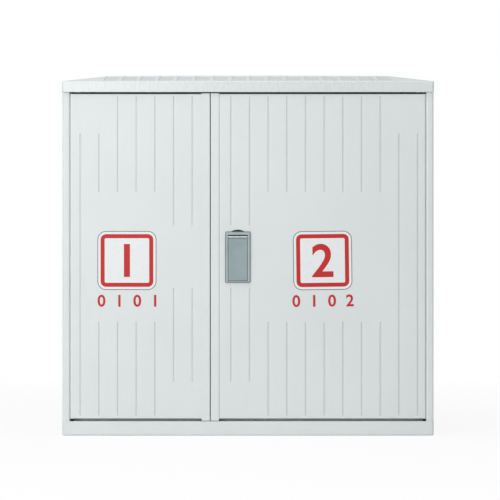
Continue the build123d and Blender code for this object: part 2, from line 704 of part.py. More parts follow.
# Rack rods: flat bars with a toothed end; the lower one is the upper one turned half round
rack_pitch = pi * gear_module
tooth_half = rack_pitch / 4 - rack_backlash / 2
slope_half = tan(pressure_angle)
bar_edge = -pitch_radius - rack_dedendum
bar_middle = bar_edge - bar_width / 2
for turn, name in ((0, "upper_rack_rod"), (180, "lower_rack_rod")):
    heading = cos(radians(turn))
    rod_plane = Plane(origin=(lock_x, gear_front, lock_z), x_dir=(heading, 0, 0), z_dir=(0, -1, 0))
    with BuildPart() as rack_rod:
        with BuildSketch(rod_plane):
            with Locations((bar_middle, (rod_reach - 30) / 2)):
                Rectangle(bar_width, rod_reach + 30)
            for step in range(-5, 3):
                with BuildLine():
                    middle = (step + 0.5) * rack_pitch
                    tip_half = tooth_half - rack_addendum * slope_half
                    foot_half = tooth_half + rack_dedendum * slope_half
                    Polyline(
                        (bar_edge - 0.5, middle - foot_half),
                        (bar_edge, middle - foot_half),
                        (-pitch_radius + rack_addendum, middle - tip_half),
                        (-pitch_radius + rack_addendum, middle + tip_half),
                        (bar_edge, middle + foot_half),
                        (bar_edge - 0.5, middle + foot_half),
                        close=True,
                    )
                make_face()
        extrude(amount=-gear_width)
        tip_edges = rack_rod.edges().filter_by(Axis.X).sort_by(Axis.Z)
        chosen = tip_edges[-2:] if heading > 0 else tip_edges[0:2]
        chamfer(chosen, length=2)
    save(rack_rod, name)

# Gear case: plate behind the pan, with a cheek outside each rack, and its bolted cover
case_half = -bar_edge + bar_width + slide_clearance
cheek = 4.0
case_reach = 42.0
screw_x = case_half + cheek / 2
with BuildPart() as gear_case:
    case_x = (lock_x - case_half - cheek, lock_x + case_half + cheek)
    case_z = (lock_z - case_reach, lock_z + case_reach)
    block(case_x, (pan_back, gear_front - slide_clearance), case_z)
    for side in (-1, 1):
        cheek_x = (lock_x + side * case_half, lock_x + side * (case_half + cheek))
        block(cheek_x, (pan_back, cover_plate_y), case_z)
    along_y(pan_back, 20, bush_radius, Mode.SUBTRACT)
save(gear_case, "gear_case")

with BuildPart() as gear_case_cover:
    block(case_x, (cover_plate_y, cover_plate_y + cover_plate_gauge), case_z)
    for side in (-1, 1):
        view_x = (lock_x + side * 7, lock_x + side * (case_half - 2))
        block(view_x, (cover_plate_y, cover_plate_y + 2), (lock_z - 24, lock_z + 24), Mode.SUBTRACT)
    along_y(cover_plate_y - 1, 5, stem_radius + running_clearance, Mode.SUBTRACT)
save(gear_case_cover, "gear_case_cover")

with BuildPart() as gear_case_screws:
    for x in (-screw_x, screw_x):
        for z in (-case_reach + 6, case_reach - 6):
            with Locations(Location((lock_x + x, cover_plate_y + 2, lock_z + z), (-90, 0, 0))):
                Cylinder(3, 2, align=(Align.CENTER, Align.CENTER, Align.MIN))
save(gear_case_screws, "gear_case_screws")

with BuildPart() as spindle_nut:
    with BuildSketch(Plane.XZ.offset(-(cover_plate_y + cover_plate_gauge + slide_clearance))):
        with Locations((lock_x, lock_z)):
            RegularPolygon(5.8, 6)
            Circle(stem_radius, mode=Mode.SUBTRACT)
    extrude(amount=-4)
save(spindle_nut, "spindle_nut")

# Rod guides: moulded brackets that stand on the door skin around the flat bars
guide_wall = 4.0
guide_height = 12.0
with BuildPart() as rod_guides:
    for turn in (1, -1):
        for distance in (74, 330):
            z = lock_z + turn * distance
            with BuildSketch(Plane.XY.offset(z - guide_height / 2)) as guide:
                bar_x = lock_x + turn * bar_middle
                guide_back = gear_back + slide_clearance + guide_wall
                with Locations((bar_x, (skin_back + guide_back) / 2)):
                    Rectangle(bar_width + 2 * slide_clearance + 2 * guide_wall, guide_back - skin_back)
                    fillet(guide.vertices().group_by(Axis.Y)[-1], radius=3)
                with Locations((bar_x, gear_front + gear_width / 2)):
                    slot = (bar_width + 2 * slide_clearance, gear_width + 2 * slide_clearance)
                    Rectangle(*slot, mode=Mode.SUBTRACT)
                with Locations((bar_x, (skin_back + gear_front - guide_wall) / 2)):
                    core = gear_front - 2 * guide_wall - skin_back
                    Rectangle(bar_width + 2 * slide_clearance, core, mode=Mode.SUBTRACT)
            extrude(amount=guide_height)
save(rod_guides, "rod_guides")


def carriage_bolt(place, turn):
    """Domed head, shank through two walls, and a nut behind them; local +Z is outward."""
    with Locations(Location(place, turn)):
        with Locations((0, 0, 0)):
            Cylinder(bolt_shank / 2, 3 * wall + 1, align=(Align.CENTER, Align.CENTER, Align.MAX))
            Cylinder(7, 2.5, align=(Align.CENTER, Align.CENTER, Align.MIN))
        with Locations((0, 0, -2 * wall)):
            with Locations((0, 0, -5)):
                Cylinder(6.5, 5, align=(Align.CENTER, Align.CENTER, Align.MIN))


# Bolts through the back returns, and through the side feet into the base ledge
with BuildPart() as panel_bolts:
    for side in (-1, 1):
        for z in back_bolts:
            carriage_bolt((side * (body_half - bolt_inset), body_back, z), (-90, 0, 0))
        for y in foot_bolt_ys:
            carriage_bolt((side * (body_half - bolt_inset), y, base_height + wall), (0, 0, 0))
save(panel_bolts, "panel_bolts")

# Mounting plate on stand-offs
plate_half = plate_width / 2
plate_back = plate_front + plate_gauge
standoff_x = plate_half - 15.0
standoff_zs = (plate_bottom + 40.0, plate_bottom + plate_height - 40.0)
standoff_places = [(x, z) for x in (-standoff_x, standoff_x) for z in standoff_zs]
field_back = body_back - wall
with BuildPart() as mounting_plate:
    with BuildSketch(Plane.XY.offset(plate_bottom)):
        with BuildLine():
            FilletPolyline(
                (-plate_half, plate_front + 16),
                (-plate_half, plate_front + plate_gauge / 2),
                (plate_half, plate_front + plate_gauge / 2),
                (plate_half, plate_front + 16),
                radius=3,
            )
        trace(line_width=plate_gauge)
    extrude(amount=plate_height)
    for x, z in standoff_places:
        with Locations(Location((x, plate_front + 1, z), (90, 0, 0))):
            Cylinder(4, 3 * plate_gauge, mode=Mode.SUBTRACT)
save(mounting_plate, "mounting_plate")

with BuildPart() as plate_standoffs:
    for x, z in standoff_places:
        with Locations(Location((x, plate_back, z), (-90, 0, 0))):
            Cylinder(9, field_back - plate_back, align=(Align.CENTER, Align.CENTER, Align.MIN))
            Cylinder(4, 20, align=(Align.CENTER, Align.CENTER, Align.MIN), mode=Mode.SUBTRACT)
save(plate_standoffs, "plate_standoffs")

with BuildPart() as plate_bolts:
    for x, z in standoff_places:
        with Locations(Location((x, plate_front, z), (-90, 0, 0))):
            Cylinder(4, 20, align=(Align.CENTER, Align.CENTER, Align.MIN))
            Cylinder(7, 5, align=(Align.CENTER, Align.CENTER, Align.MAX))
save(plate_bolts, "plate_bolts")

# Three phase bars, set back in steps so that each link passes the bars below it
bar_span = (-350.0, 372.0)
support_xs = (-340.0, -140.0, 135.0, 355.0)
support_width = 20.0
support_rest = 30.0
for phase in range(3):
    bar_y = top_bar_y + phase * busbar_step
    bar_z = top_bar_z - phase * busbar_pitch
    half_bar = busbar_height / 2
    with BuildPart() as phase_bar:
        block(bar_span, (bar_y, bar_y + busbar_thickness), (bar_z - half_bar, bar_z + half_bar))
    save(phase_bar, f"phase_bar_{phase + 1}")

with BuildPart() as busbar_supports:
    for x in support_xs:
        with BuildSketch(Plane.YZ.offset(x - support_width / 2)):
            with BuildLine():
                steps = [(plate_front, top_bar_z + support_rest)]
                for phase in range(3):
                    seat_y = top_bar_y + phase * busbar_step + busbar_thickness
                    seat_top = support_rest if phase == 0 else busbar_pitch / 2
                    steps.append((seat_y, top_bar_z - phase * busbar_pitch + seat_top))
                    seat_low = support_rest if phase == 2 else busbar_pitch / 2
                    steps.append((seat_y, top_bar_z - phase * busbar_pitch - seat_low))
                steps.append((plate_front, top_bar_z - 2 * busbar_pitch - support_rest))
                Polyline(*steps, close=True)
            make_face()
        extrude(amount=support_width)
save(busbar_supports, "busbar_supports")

# Breakers, with one bent link from each pole up to its phase bar
breaker_depths = (40.0, 70.0, 85.0)
terminal_y = plate_front - breaker_depths[0] + 10
toggle_y = plate_front - breaker_depths[2] + 17
branch_xs = [-30.0 + 110.0 * step for step in range(4)]
breaker_sizes = [("main_breaker", -270.0, 140.0, 257.0, 45.0)]
breaker_sizes += [(f"branch_breaker_{step + 1}", x, 92.0, 165.0, 30.0) for step, x in enumerate(branch_xs)]
for name, centre_x, width, height, pole_pitch in breaker_sizes:
    bottom = breaker_top - height
    toggle_z = breaker_top - height / 2
    low, mid, nose = [plate_front - depth for depth in breaker_depths]
    with BuildPart() as breaker:
        with BuildSketch(Plane.YZ.offset(centre_x - width / 2)) as profile:
            with BuildLine():
                Polyline(
                    (plate_front, bottom),
                    (low, bottom),
                    (low, bottom + 32),
                    (mid, bottom + 32),
                    (mid, toggle_z - 32),
                    (nose, toggle_z - 28),
                    (nose, toggle_z + 28),
                    (mid, toggle_z + 32),
                    (mid, breaker_top - 32),
                    (low, breaker_top - 32),
                    (low, breaker_top),
                    (plate_front, breaker_top),
                    close=True,
                )
            make_face()
        extrude(amount=width)
        side_edges = breaker.edges().filter_by(GeomType.LINE).filter_by(Axis.Z)
        fillet([edge for edge in side_edges if edge.center().Y < low + 1], radius=2)
        for pole in (-1, 0, 1):
            pole_x = centre_x + pole * pole_pitch
            pocket = (pole_x - pole_pitch * 0.38, pole_x + pole_pitch * 0.38)
            for z_span in ((bottom, bottom + 26), (breaker_top - 26, breaker_top)):
                block(pocket, (low, terminal_y), z_span, Mode.SUBTRACT)
        slot_x = (centre_x - 7, centre_x + 7)
        block(slot_x, (nose, nose + 30), (toggle_z - 20, toggle_z + 20), Mode.SUBTRACT)
        with Locations(Location((centre_x, toggle_y, toggle_z), (0, 90, 0))):
            Cylinder(2 + running_clearance, 30, mode=Mode.SUBTRACT)
    save(breaker, name)

    # Toggle: hub on its own stub axle, lever resting 20 degrees down in the off place
    with BuildPart() as toggle:
        with Locations(Location((centre_x, toggle_y, toggle_z), (0, 90, 0))):
            Cylinder(8, 12)
            Cylinder(2, 28)
        with Locations(Location((centre_x, toggle_y, toggle_z), (20, 0, 0))):
            with Locations((0, -20, 0)):
                Box(10, 40, 8)
        tip = toggle.faces().sort_by(Axis.Y)[0]
        fillet(tip.edges().filter_by(Axis.X), radius=2)
    save(toggle, name.replace("breaker", "toggle"))

jog_top = top_bar_z - 2 * busbar_pitch - busbar_height - 10
jog_bottom = breaker_top + 25
for phase in range(3):
    bar_y = top_bar_y + phase * busbar_step
    bar_z = top_bar_z - phase * busbar_pitch
    with BuildPart() as links:
        for name, centre_x, width, height, pole_pitch in breaker_sizes:
            link_x = centre_x + (phase - 1) * pole_pitch
            with BuildSketch(Plane.YZ.offset(link_x - link_width / 2)):
                with BuildLine():
                    FilletPolyline(
                        (bar_y - link_gauge / 2, bar_z + busbar_height / 2),
                        (bar_y - link_gauge / 2, jog_top),
                        (terminal_y - link_gauge / 2, jog_bottom),
                        (terminal_y - link_gauge / 2, breaker_top - 25),
                        radius=5,
                    )
                trace(line_width=link_gauge)
            extrude(amount=link_width)
    save(links, f"phase_{phase + 1}_links")

# Neutral bar on insulators, and the earth bar on its blocks
neutral_z = 250.0
neutral_half = 340.0
neutral_holes = 16
neutral_hole_pitch = 40.0
insulator_xs = (-320.0, 0.0, 320.0)
insulator_height = 35.0
earth_z = 190.0
earth_half = 320.0
earth_standoff = 18.0
earth_bar_height = 25.0
neutral_back = plate_front - insulator_height
with BuildPart() as neutral_bar:
    bar_z = (neutral_z - busbar_height / 2, neutral_z + busbar_height / 2)
    block((-neutral_half, neutral_half), (neutral_back - busbar_thickness, neutral_back), bar_z)
    with Locations(Location((0, neutral_back - busbar_thickness / 2, neutral_z), (90, 0, 0))):
        with GridLocations(neutral_hole_pitch, 0, neutral_holes, 1):
            Cylinder(4, 3 * busbar_thickness, mode=Mode.SUBTRACT)
save(neutral_bar, "neutral_bar")

with BuildPart() as neutral_insulators:
    for x in insulator_xs:
        with BuildSketch(Plane(origin=(x, plate_front, neutral_z), x_dir=(1, 0, 0), z_dir=(0, 0, 1))):
            with BuildLine():
                Polyline(
                    (0, 0),
                    (12, 0),
                    (16, -6),
                    (12, -12),
                    (16, -18),
                    (12, -24),
                    (15, -30),
                    (12, -insulator_height),
                    (0, -insulator_height),
                    close=True,
                )
            make_face()
        revolve(axis=Axis((x, plate_front, neutral_z), (0, 1, 0)))
save(neutral_insulators, "neutral_insulators")

with BuildPart() as earth_bar:
    earth_back = plate_front - earth_standoff
    bar_z = (earth_z - earth_bar_height / 2, earth_z + earth_bar_height / 2)
    block((-earth_half, earth_half), (earth_back - busbar_thickness, earth_back), bar_z)
    for side in (-1, 1):
        foot_x = (side * (earth_half - 32), side * (earth_half - 8))
        block(foot_x, (earth_back, plate_front), bar_z)
save(earth_bar, "earth_bar")

# Cable rail between the side panels, with one clamp ring for each cable
rail_y = cable_y + cable_diameter / 2 + 3
rail_z = 110.0
clamp_gauge = 3.0
cable_xs = [(step - (cable_count - 1) / 2) * cable_pitch for step in range(cable_count)]
with BuildPart() as cable_rail:
    with BuildSketch(Plane.YZ.offset(-header_half)):
        with BuildLine():
            FilletPolyline(
                (rail_y + 1, rail_z + 8),
                (rail_y + 1, rail_z),
                (rail_y + 21, rail_z),
                (rail_y + 21, rail_z + 40),
                (rail_y + 1, rail_z + 40),
                (rail_y + 1, rail_z + 32),
                radius=2,
            )
        trace(line_width=2)
    extrude(amount=2 * header_half)
save(cable_rail, "cable_rail")

with BuildPart() as cable_clamps:
    for x in cable_xs:
        with BuildSketch(Plane.XY.offset(rail_z - 1)):
            with Locations((x, cable_y)):
                Circle(cable_diameter / 2 + clamp_gauge)
            with Locations((x, rail_y - clamp_gauge / 2)):
                Rectangle(cable_diameter + 30, clamp_gauge)
            with Locations((x, cable_y)):
                Circle(cable_diameter / 2, mode=Mode.SUBTRACT)
        extrude(amount=42)
save(cable_clamps, "cable_clamps")

# Gland plate over the base opening, with a stepped rubber grommet under each clamp
gland_gauge = 3.0
gland_hole = 32.0
gland_half_x = cabinet_width / 2 - base_ledge + 8
gland_half_y = base_depth / 2 - base_ledge + 2.5
with BuildPart() as gland_plate:
    gland_z = (base_height, base_height + gland_gauge)
    block((-gland_half_x, gland_half_x), (-gland_half_y, gland_half_y), gland_z)
    for x in cable_xs:
        upright(x, cable_y, base_height, gland_gauge, gland_hole, Mode.SUBTRACT)
save(gland_plate, "gland_plate")

with BuildPart() as cable_grommets:
    for x in cable_xs:
        plane = Plane(origin=(x, cable_y, base_height), x_dir=(1, 0, 0), z_dir=(0, -1, 0))
        with BuildSketch(plane):
            with BuildLine():
                Polyline(
                    (gland_hole - 4, -3),
                    (gland_hole + 6, -3),
                    (gland_hole + 6, 0),
                    (gland_hole, 0),
                    (gland_hole, gland_gauge),
                    (gland_hole + 5, gland_gauge),
                    (gland_hole + 2, gland_gauge + 6),
                    (22, gland_gauge + 14),
                    (18, gland_gauge + 26),
                    (15, gland_gauge + 26),
                    (19, gland_gauge + 12),
                    (gland_hole - 4, gland_gauge + 3),
                    close=True,
                )
            make_face()
        revolve(axis=Axis((x, cable_y, base_height), (0, 0, 1)))
save(cable_grommets, "cable_grommets")
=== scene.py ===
"""Dress the utility cabinet: finishes, printed plates, terminal screws, floor, lamps and camera."""
import logging
from dataclasses import dataclass
from enum import Enum
from math import radians
from typing import Any, Iterable, Sequence

import bmesh
import bpy
from mathutils import Matrix, Vector


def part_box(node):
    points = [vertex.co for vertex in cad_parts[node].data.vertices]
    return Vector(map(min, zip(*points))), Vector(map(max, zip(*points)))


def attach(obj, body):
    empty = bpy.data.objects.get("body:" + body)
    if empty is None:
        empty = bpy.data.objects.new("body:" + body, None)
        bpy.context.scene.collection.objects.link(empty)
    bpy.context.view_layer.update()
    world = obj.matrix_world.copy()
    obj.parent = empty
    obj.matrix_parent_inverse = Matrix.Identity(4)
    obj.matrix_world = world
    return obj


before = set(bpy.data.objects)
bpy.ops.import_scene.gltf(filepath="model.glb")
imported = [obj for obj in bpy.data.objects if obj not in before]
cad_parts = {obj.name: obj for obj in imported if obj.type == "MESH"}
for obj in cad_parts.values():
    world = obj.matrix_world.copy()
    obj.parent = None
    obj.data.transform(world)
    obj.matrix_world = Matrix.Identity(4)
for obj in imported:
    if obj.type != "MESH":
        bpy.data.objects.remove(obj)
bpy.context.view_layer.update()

log = logging.getLogger("cabinet")
MM = 0.001
PIXEL = 2.5786 * MM
MIDDLE_PX = 248.0
GROUND_PX = 435.8
DOOR_FRONT = -184 * MM
LAMP_AIM = (0.0, 0.0, 0.47)
NEARLY_ALL = 0.9
SLAB_CORNER_STEPS = 6
BAR_EDGE_STEPS = 3
BAR_EDGE_SHARE = 0.4
Colour = tuple[float, float, float]


def from_photo(across: float, down: float) -> tuple[float, float]:
    """Turn a place in the photo's frame, in pixels, into a place across and up, in metres."""
    return ((across - MIDDLE_PX) * PIXEL, (GROUND_PX - down) * PIXEL)


def srgb(red: int, green: int, blue: int) -> Colour:
    """Turn a colour as seen on a screen, 0 to 255, into the linear values a shader takes."""
    values = [channel / 255 for channel in (red, green, blue)]
    linear = [v / 12.92 if v <= 0.04045 else ((v + 0.055) / 1.055) ** 2.4 for v in values]
    return (linear[0], linear[1], linear[2])


class Wire:
    """One node output that takes part in Python arithmetic, adding Math nodes as it goes."""

    def __init__(self, recipe: "Recipe", socket: bpy.types.NodeSocket) -> None:
        """Wrap a socket.

        Args:
            recipe: The material that the socket belongs to.
            socket: The node's output.
        """
        self.recipe = recipe
        self.socket = socket

    def _math(self, operation: str, *values: Any) -> "Wire":
        """Add a Math node on these values.

        Args:
            operation: The Math node's operation.
            values: Its inputs, in order.

        Returns:
            The node's result.
        """
        made = self.recipe.node("ShaderNodeMath", {"operation": operation}, dict(enumerate(values)))
        return Wire(self.recipe, made.outputs[0])

    def __add__(self, other: Any) -> "Wire":
        """Add."""
        return self._math("ADD", self, other)

    __radd__ = __add__

    def __sub__(self, other: Any) -> "Wire":
        """Subtract."""
        return self._math("SUBTRACT", self, other)

    def __rsub__(self, other: Any) -> "Wire":
        """Subtract this from the other."""
        return self._math("SUBTRACT", other, self)

    def __mul__(self, other: Any) -> "Wire":
        """Multiply."""
        return self._math("MULTIPLY", self, other)

    __rmul__ = __mul__

    def __gt__(self, other: Any) -> "Wire":
        """1 where this is larger, 0 elsewhere."""
        return self._math("GREATER_THAN", self, other)

    def __abs__(self) -> "Wire":
        """Drop the sign."""
        return self._math("ABSOLUTE", self)

    def clamp(self) -> "Wire":
        """Keep the value between 0 and 1."""
        return self._math("MINIMUM", self._math("MAXIMUM", self, 0.0), 1.0)

    def fade(self, low: float, high: float) -> "Wire":
        """Rise from 0 at low to 1 at high."""
        return ((self - low) * (1 / (high - low))).clamp()


class Recipe:
    """A material under construction, with one method that makes any node."""

    def __init__(self, name: str) -> None:
        """Start an empty material.

        Args:
            name: The material's name.
        """
        self.material = bpy.data.materials.new(name)
        self.material.use_nodes = True
        self.tree = self.material.node_tree
        self.tree.nodes.clear()
        self.place = self.node("ShaderNodeTexCoord", {}, {}).outputs["Object"]

    def node(self, kind: str, settings: dict[str, Any], inputs: dict[Any, Any]) -> bpy.types.Node:
        """Make a node, set it, then fill its sockets.

        Args:
            kind: Blender's name for the node type.
            settings: Properties of the node, set before its sockets.
            inputs: Socket name or number to a value, a socket or a Wire.

        Returns:
            The new node.
        """
        made = self.tree.nodes.new(kind)
        for name, value in settings.items():
            setattr(made, name, value)
        for name, value in inputs.items():
            if isinstance(value, Wire):
                self.tree.links.new(value.socket, made.inputs[name])
            elif isinstance(value, bpy.types.NodeSocket):
                self.tree.links.new(value, made.inputs[name])
            else:
                made.inputs[name].default_value = value
        return made

    def noise(self, scale: float, detail: float = 2.0, roughness: float = 0.5) -> Wire:
        """Noise over the object's own space.

        Args:
            scale: Features per metre.
            detail: Octaves.
            roughness: How strong the finer octaves are.

        Returns:
            The noise, about 0.5 in the middle.
        """
        inputs = {"Vector": self.place, "Scale": scale, "Detail": detail, "Roughness": roughness}
        return Wire(self, self.node("ShaderNodeTexNoise", {}, inputs).outputs[0])

    def axes(self) -> tuple[Wire, Wire, Wire]:
        """Give the place across, in depth and up, in metres, in the object's own space."""
        x, y, z = self.node("ShaderNodeSeparateXYZ", {}, {0: self.place}).outputs
        return (Wire(self, x), Wire(self, y), Wire(self, z))

    def cells(self, scale: float) -> Wire:
        """Voronoi cells over the object's own space.

        Args:
            scale: Cells per metre.

        Returns:
            A value of its own for each cell.
        """
        inputs = {"Vector": self.place, "Scale": scale}
        return Wire(self, self.node("ShaderNodeTexVoronoi", {}, inputs).outputs["Color"])

    def stretched(self, scale: Sequence[float], detail: float = 2.0) -> Wire:
        """Noise that is drawn out along one axis, as in brushed or rolled metal.

        Args:
            scale: Features per metre along X, Y and Z.
            detail: Octaves.

        Returns:
            The noise.
        """
        mapping = self.node("ShaderNodeMapping", {}, {"Vector": self.place, "Scale": tuple(scale)})
        inputs = {"Vector": mapping.outputs[0], "Scale": 1.0, "Detail": detail}
        return Wire(self, self.node("ShaderNodeTexNoise", {}, inputs).outputs[0])

    def blend(
        self,
        factor: Wire | float,
        low: Colour | bpy.types.NodeSocket,
        high: Colour | bpy.types.NodeSocket,
    ) -> bpy.types.NodeSocket:
        """Mix two colours.

        Args:
            factor: 0 gives low, 1 gives high.
            low: The first colour, or the socket of one.
            high: The second colour, or the socket of one.

        Returns:
            The mixed colour's socket.
        """
        inputs: dict[Any, Any] = {0: factor}
        for slot, colour in ((6, low), (7, high)):
            inputs[slot] = colour if isinstance(colour, bpy.types.NodeSocket) else (*colour, 1.0)
        return self.node("ShaderNodeMix", {"data_type": "RGBA"}, inputs).outputs[2]

    def hollow(self, reach: float) -> Wire:
        """Find the grooves and inner corners of the object itself.

        Args:
            reach: How far away a wall still counts, in metres.

        Returns:
            0 in the open, rising towards 1 deep in a groove.
        """
        made = self.node(
            "ShaderNodeAmbientOcclusion", {"samples": 8, "only_local": True}, {"Distance": reach}
        )
        return 1.0 - Wire(self, made.outputs["AO"])

    def bump(
        self,
        height: Wire,
        depth: float,
        strength: float = 1.0,
        under: bpy.types.NodeSocket | None = None,
    ) -> bpy.types.NodeSocket:
        """Bend the normal as if the surface were raised.

        Args:
            height: The height, 0 to 1.
            depth: How high 1 is, in metres.
            strength: The bump's strength.
            under: The bent normal that this relief goes over, if any.

        Returns:
            The bent normal.
        """
        inputs: dict[Any, Any] = {"Height": height, "Distance": depth, "Strength": strength}
        if under is not None:
            inputs["Normal"] = under
        return self.node("ShaderNodeBump", {}, inputs).outputs[0]

    def surface(self, inputs: dict[str, Any]) -> bpy.types.Material:
        """Close the material with one Principled shader.

        Args:
            inputs: The shader's sockets.

        Returns:
            The finished material.
        """
        shader = self.node("ShaderNodeBsdfPrincipled", {}, inputs)
        self.node("ShaderNodeOutputMaterial", {}, {"Surface": shader.outputs[0]})
        return self.material


def tint(colour: Colour, factor: float) -> Colour:
    """Scale a colour's brightness."""
    return (colour[0] * factor, colour[1] * factor, colour[2] * factor)


@dataclass(frozen=True)
class MouldedCompound:
    """Glass-filled moulded sheet: faint fibre print, fine orange peel and painted shade in its
    grooves.
    """

    name: str
    colour: Colour
    roughness: float = 0.42
    groove_shade: float = 0.3
    painted_shade_tint: float = 0.45
    groove_reach: float = 4 * MM
    relief: float = 0.35
    flow_scale: float = 5.0
    fibre_scale: tuple[float, float, float] = (240.0, 240.0, 60.0)
    grain_scale: float = 1400.0
    peel_scale: float = 420.0
    peel_depth: float = 0.12 * MM
    refraction: float = 1.47

    def material(self) -> bpy.types.Material:
        """Build the material."""
        recipe = Recipe(self.name)
        flow = recipe.noise(self.flow_scale, 2.0)
        fibre = recipe.stretched(self.fibre_scale, 3.0)
        grain = recipe.noise(self.grain_scale, 1.0)
        tone = (flow * 0.6 + fibre * 0.25 + grain * 0.15).fade(0.3, 0.7)
        clean = recipe.blend(tone, tint(self.colour, 0.975), tint(self.colour, 1.02))
        # Painted shade: occlusion darkens the colour in grooves and inner corners, and the roof
        # adds painted shade on its panels.
        painted_shade = (recipe.hollow(self.groove_reach) * self.groove_shade + self.film_and_shade(recipe)).clamp()
        worn = self.roughness + (fibre - 0.5) * 0.10 + (flow - 0.5) * 0.06
        peel = fibre * 0.5 + recipe.noise(self.peel_scale, 2.0) * 0.5
        inputs = {
            "Base Color": recipe.blend(painted_shade, clean, tint(self.colour, self.painted_shade_tint)),
            "Roughness": worn + self.weathered(recipe),
            "Normal": recipe.bump(peel, self.peel_depth, self.relief, self.lean(recipe)),
            "IOR": self.refraction,
        }
        return recipe.surface(inputs)

    def film_and_shade(self, recipe: Recipe) -> Wire | float:
        """Painted shade on recessed panels: none."""
        return 0.0

    def lean(self, recipe: Recipe) -> bpy.types.NodeSocket | None:
        """How the faces lean away from the model's: not at all."""
        return None

    def weathered(self, recipe: Recipe) -> Wire | float:
        """How much rougher the weather has made it: not at all."""
        return 0.0


@dataclass(frozen=True)
class RoofCompound(MouldedCompound):
    """The roof's compound: painted shade on the panels between its ribs, rough slopes and a rim
    with draft.
    """

    relief: float = 0.12
    eave: float = 915 * MM
    eave_half: float = 187 * MM
    slope: float = 30 / 177
    slack: float = 1 * MM
    ridge_half: float = 12 * MM
    field_half: float = 381 * MM
    rib_rise: float = 1.0 * MM
    rib_full: float = 1.4 * MM
    panel_shade_share: float = 0.2
    draft: float = 0.05
    wear: float = 0.27

    def above_rim(self, z: Wire) -> Wire:
        """1 on the slopes and 0 on the rim, by height."""
        return z > self.eave + self.slack

    def film_and_shade(self, recipe: Recipe) -> Wire | float:
        """Find the recessed panels.

        Args:
            recipe: The material being built.

        Returns:
            Painted shade on the panels, none on ribs, ridge, hips and rim.
        """
        x, y, z = recipe.axes()
        depth = abs(y)
        rib_top = self.eave + (self.eave_half - depth) * self.slope
        sunk = (rib_top - z).fade(self.rib_rise, self.rib_full)
        field = (self.field_half - abs(x) > 0) * (depth > self.ridge_half) * self.above_rim(z)
        # Painted shade: the recessed panels between the ribs are darkened and the ribs stay light.
        return sunk * field * self.panel_shade_share

    def lean(self, recipe: Recipe) -> bpy.types.NodeSocket | None:
        """Lean the rim's faces back by its moulding draft.

        Args:
            recipe: The material being built.

        Returns:
            The bent normal.
        """
        return recipe.bump(recipe.axes()[2] * -self.draft, 1.0)

    def weathered(self, recipe: Recipe) -> Wire | float:
        """Find the slopes, which the weather has made rougher than the rim.

        Args:
            recipe: The material being built.

        Returns:
            The roughness to add.
        """
        return self.above_rim(recipe.axes()[2]) * self.wear


@dataclass(frozen=True)
class PaintedCasting:
    """Die casting under a thin satin paint with a slight peel."""

    name: str
    colour: Colour
    roughness: float = 0.36
    metallic: float = 0.25
    casting_shade_tint: float = 0.2
    tone_scale: float = 40.0
    peel_scale: float = 900.0
    peel_depth: float = 0.05 * MM

    def material(self) -> bpy.types.Material:
        """Build the material."""
        recipe = Recipe(self.name)
        peel = recipe.noise(self.peel_scale, 2.0)
        tone = recipe.noise(self.tone_scale, 3.0).fade(0.3, 0.7)
        painted = recipe.blend(tone, tint(self.colour, 0.95), tint(self.colour, 1.05))
        shaded_paint = tint(self.colour, self.casting_shade_tint)
        inputs = {
            # Painted shade: the paint is darkened toward a dark tint wherever shade is painted on
            # it.
            "Base Color": recipe.blend(self.casting_shade(recipe), painted, shaded_paint),
            "Roughness": self.roughness + (tone - 0.5) * 0.08,
            "Metallic": self.metallic,
            "Normal": recipe.bump(peel, self.peel_depth, 0.4),
        }
        return recipe.surface(inputs)

    def casting_shade(self, recipe: Recipe) -> Wire | float:
        """Painted shade on the paint: none."""
        return 0.0


@dataclass(frozen=True)
class BezelPaint(PaintedCasting):
    """The lock's painted bezel, with painted shade along its rim and down in its pan."""

    middle: tuple[float, float] = (-26.3 * MM, 460.8 * MM)
    half: tuple[float, float] = (32.5 * MM, 66.0 * MM)
    rim: float = 2.0 * MM
    rim_shade: float = 0.8
    reach: float = 9 * MM
    pan_shade: float = 1.3

    def casting_shade(self, recipe: Recipe) -> Wire | float:
        """Find the bezel's rim and its deep corners.

        Args:
            recipe: The material being built.

        Returns:
            How much painted shade lies on the paint.
        """
        x, _, z = recipe.axes()
        across = abs(x - self.middle[0]) > self.half[0] - self.rim
        upright = abs(z - self.middle[1]) > self.half[1] - self.rim
        # Painted shade along the bezel's rim, and occlusion as painted shade down in its pan.
        edge = (across + upright).clamp() * self.rim_shade
        return (edge + recipe.hollow(self.reach) * self.pan_shade).clamp()


@dataclass(frozen=True)
class Galvanised:
    """Hot-dip zinc with its spangle and a rolled grain."""

    name: str
    colour: Colour
    roughness: float = 0.34
    metallic: float = 0.9
    spangle: float = 90.0
    grain: tuple[float, float, float] = (12.0, 12.0, 420.0)
    grain_depth: float = 0.04 * MM

    def material(self) -> bpy.types.Material:
        """Build the material."""
        recipe = Recipe(self.name)
        cells = recipe.cells(self.spangle)
        rolled = recipe.stretched(self.grain, 3.0)
        tone = (cells * 0.7 + rolled * 0.3).fade(0.2, 0.8)
        inputs = {
            "Base Color": recipe.blend(tone, tint(self.colour, 0.82), tint(self.colour, 1.1)),
            "Roughness": self.roughness + (cells - 0.5) * 0.16 + (rolled - 0.5) * 0.08,
            "Metallic": self.metallic,
            "Normal": recipe.bump(rolled, self.grain_depth, 0.3),
        }
        return recipe.surface(inputs)


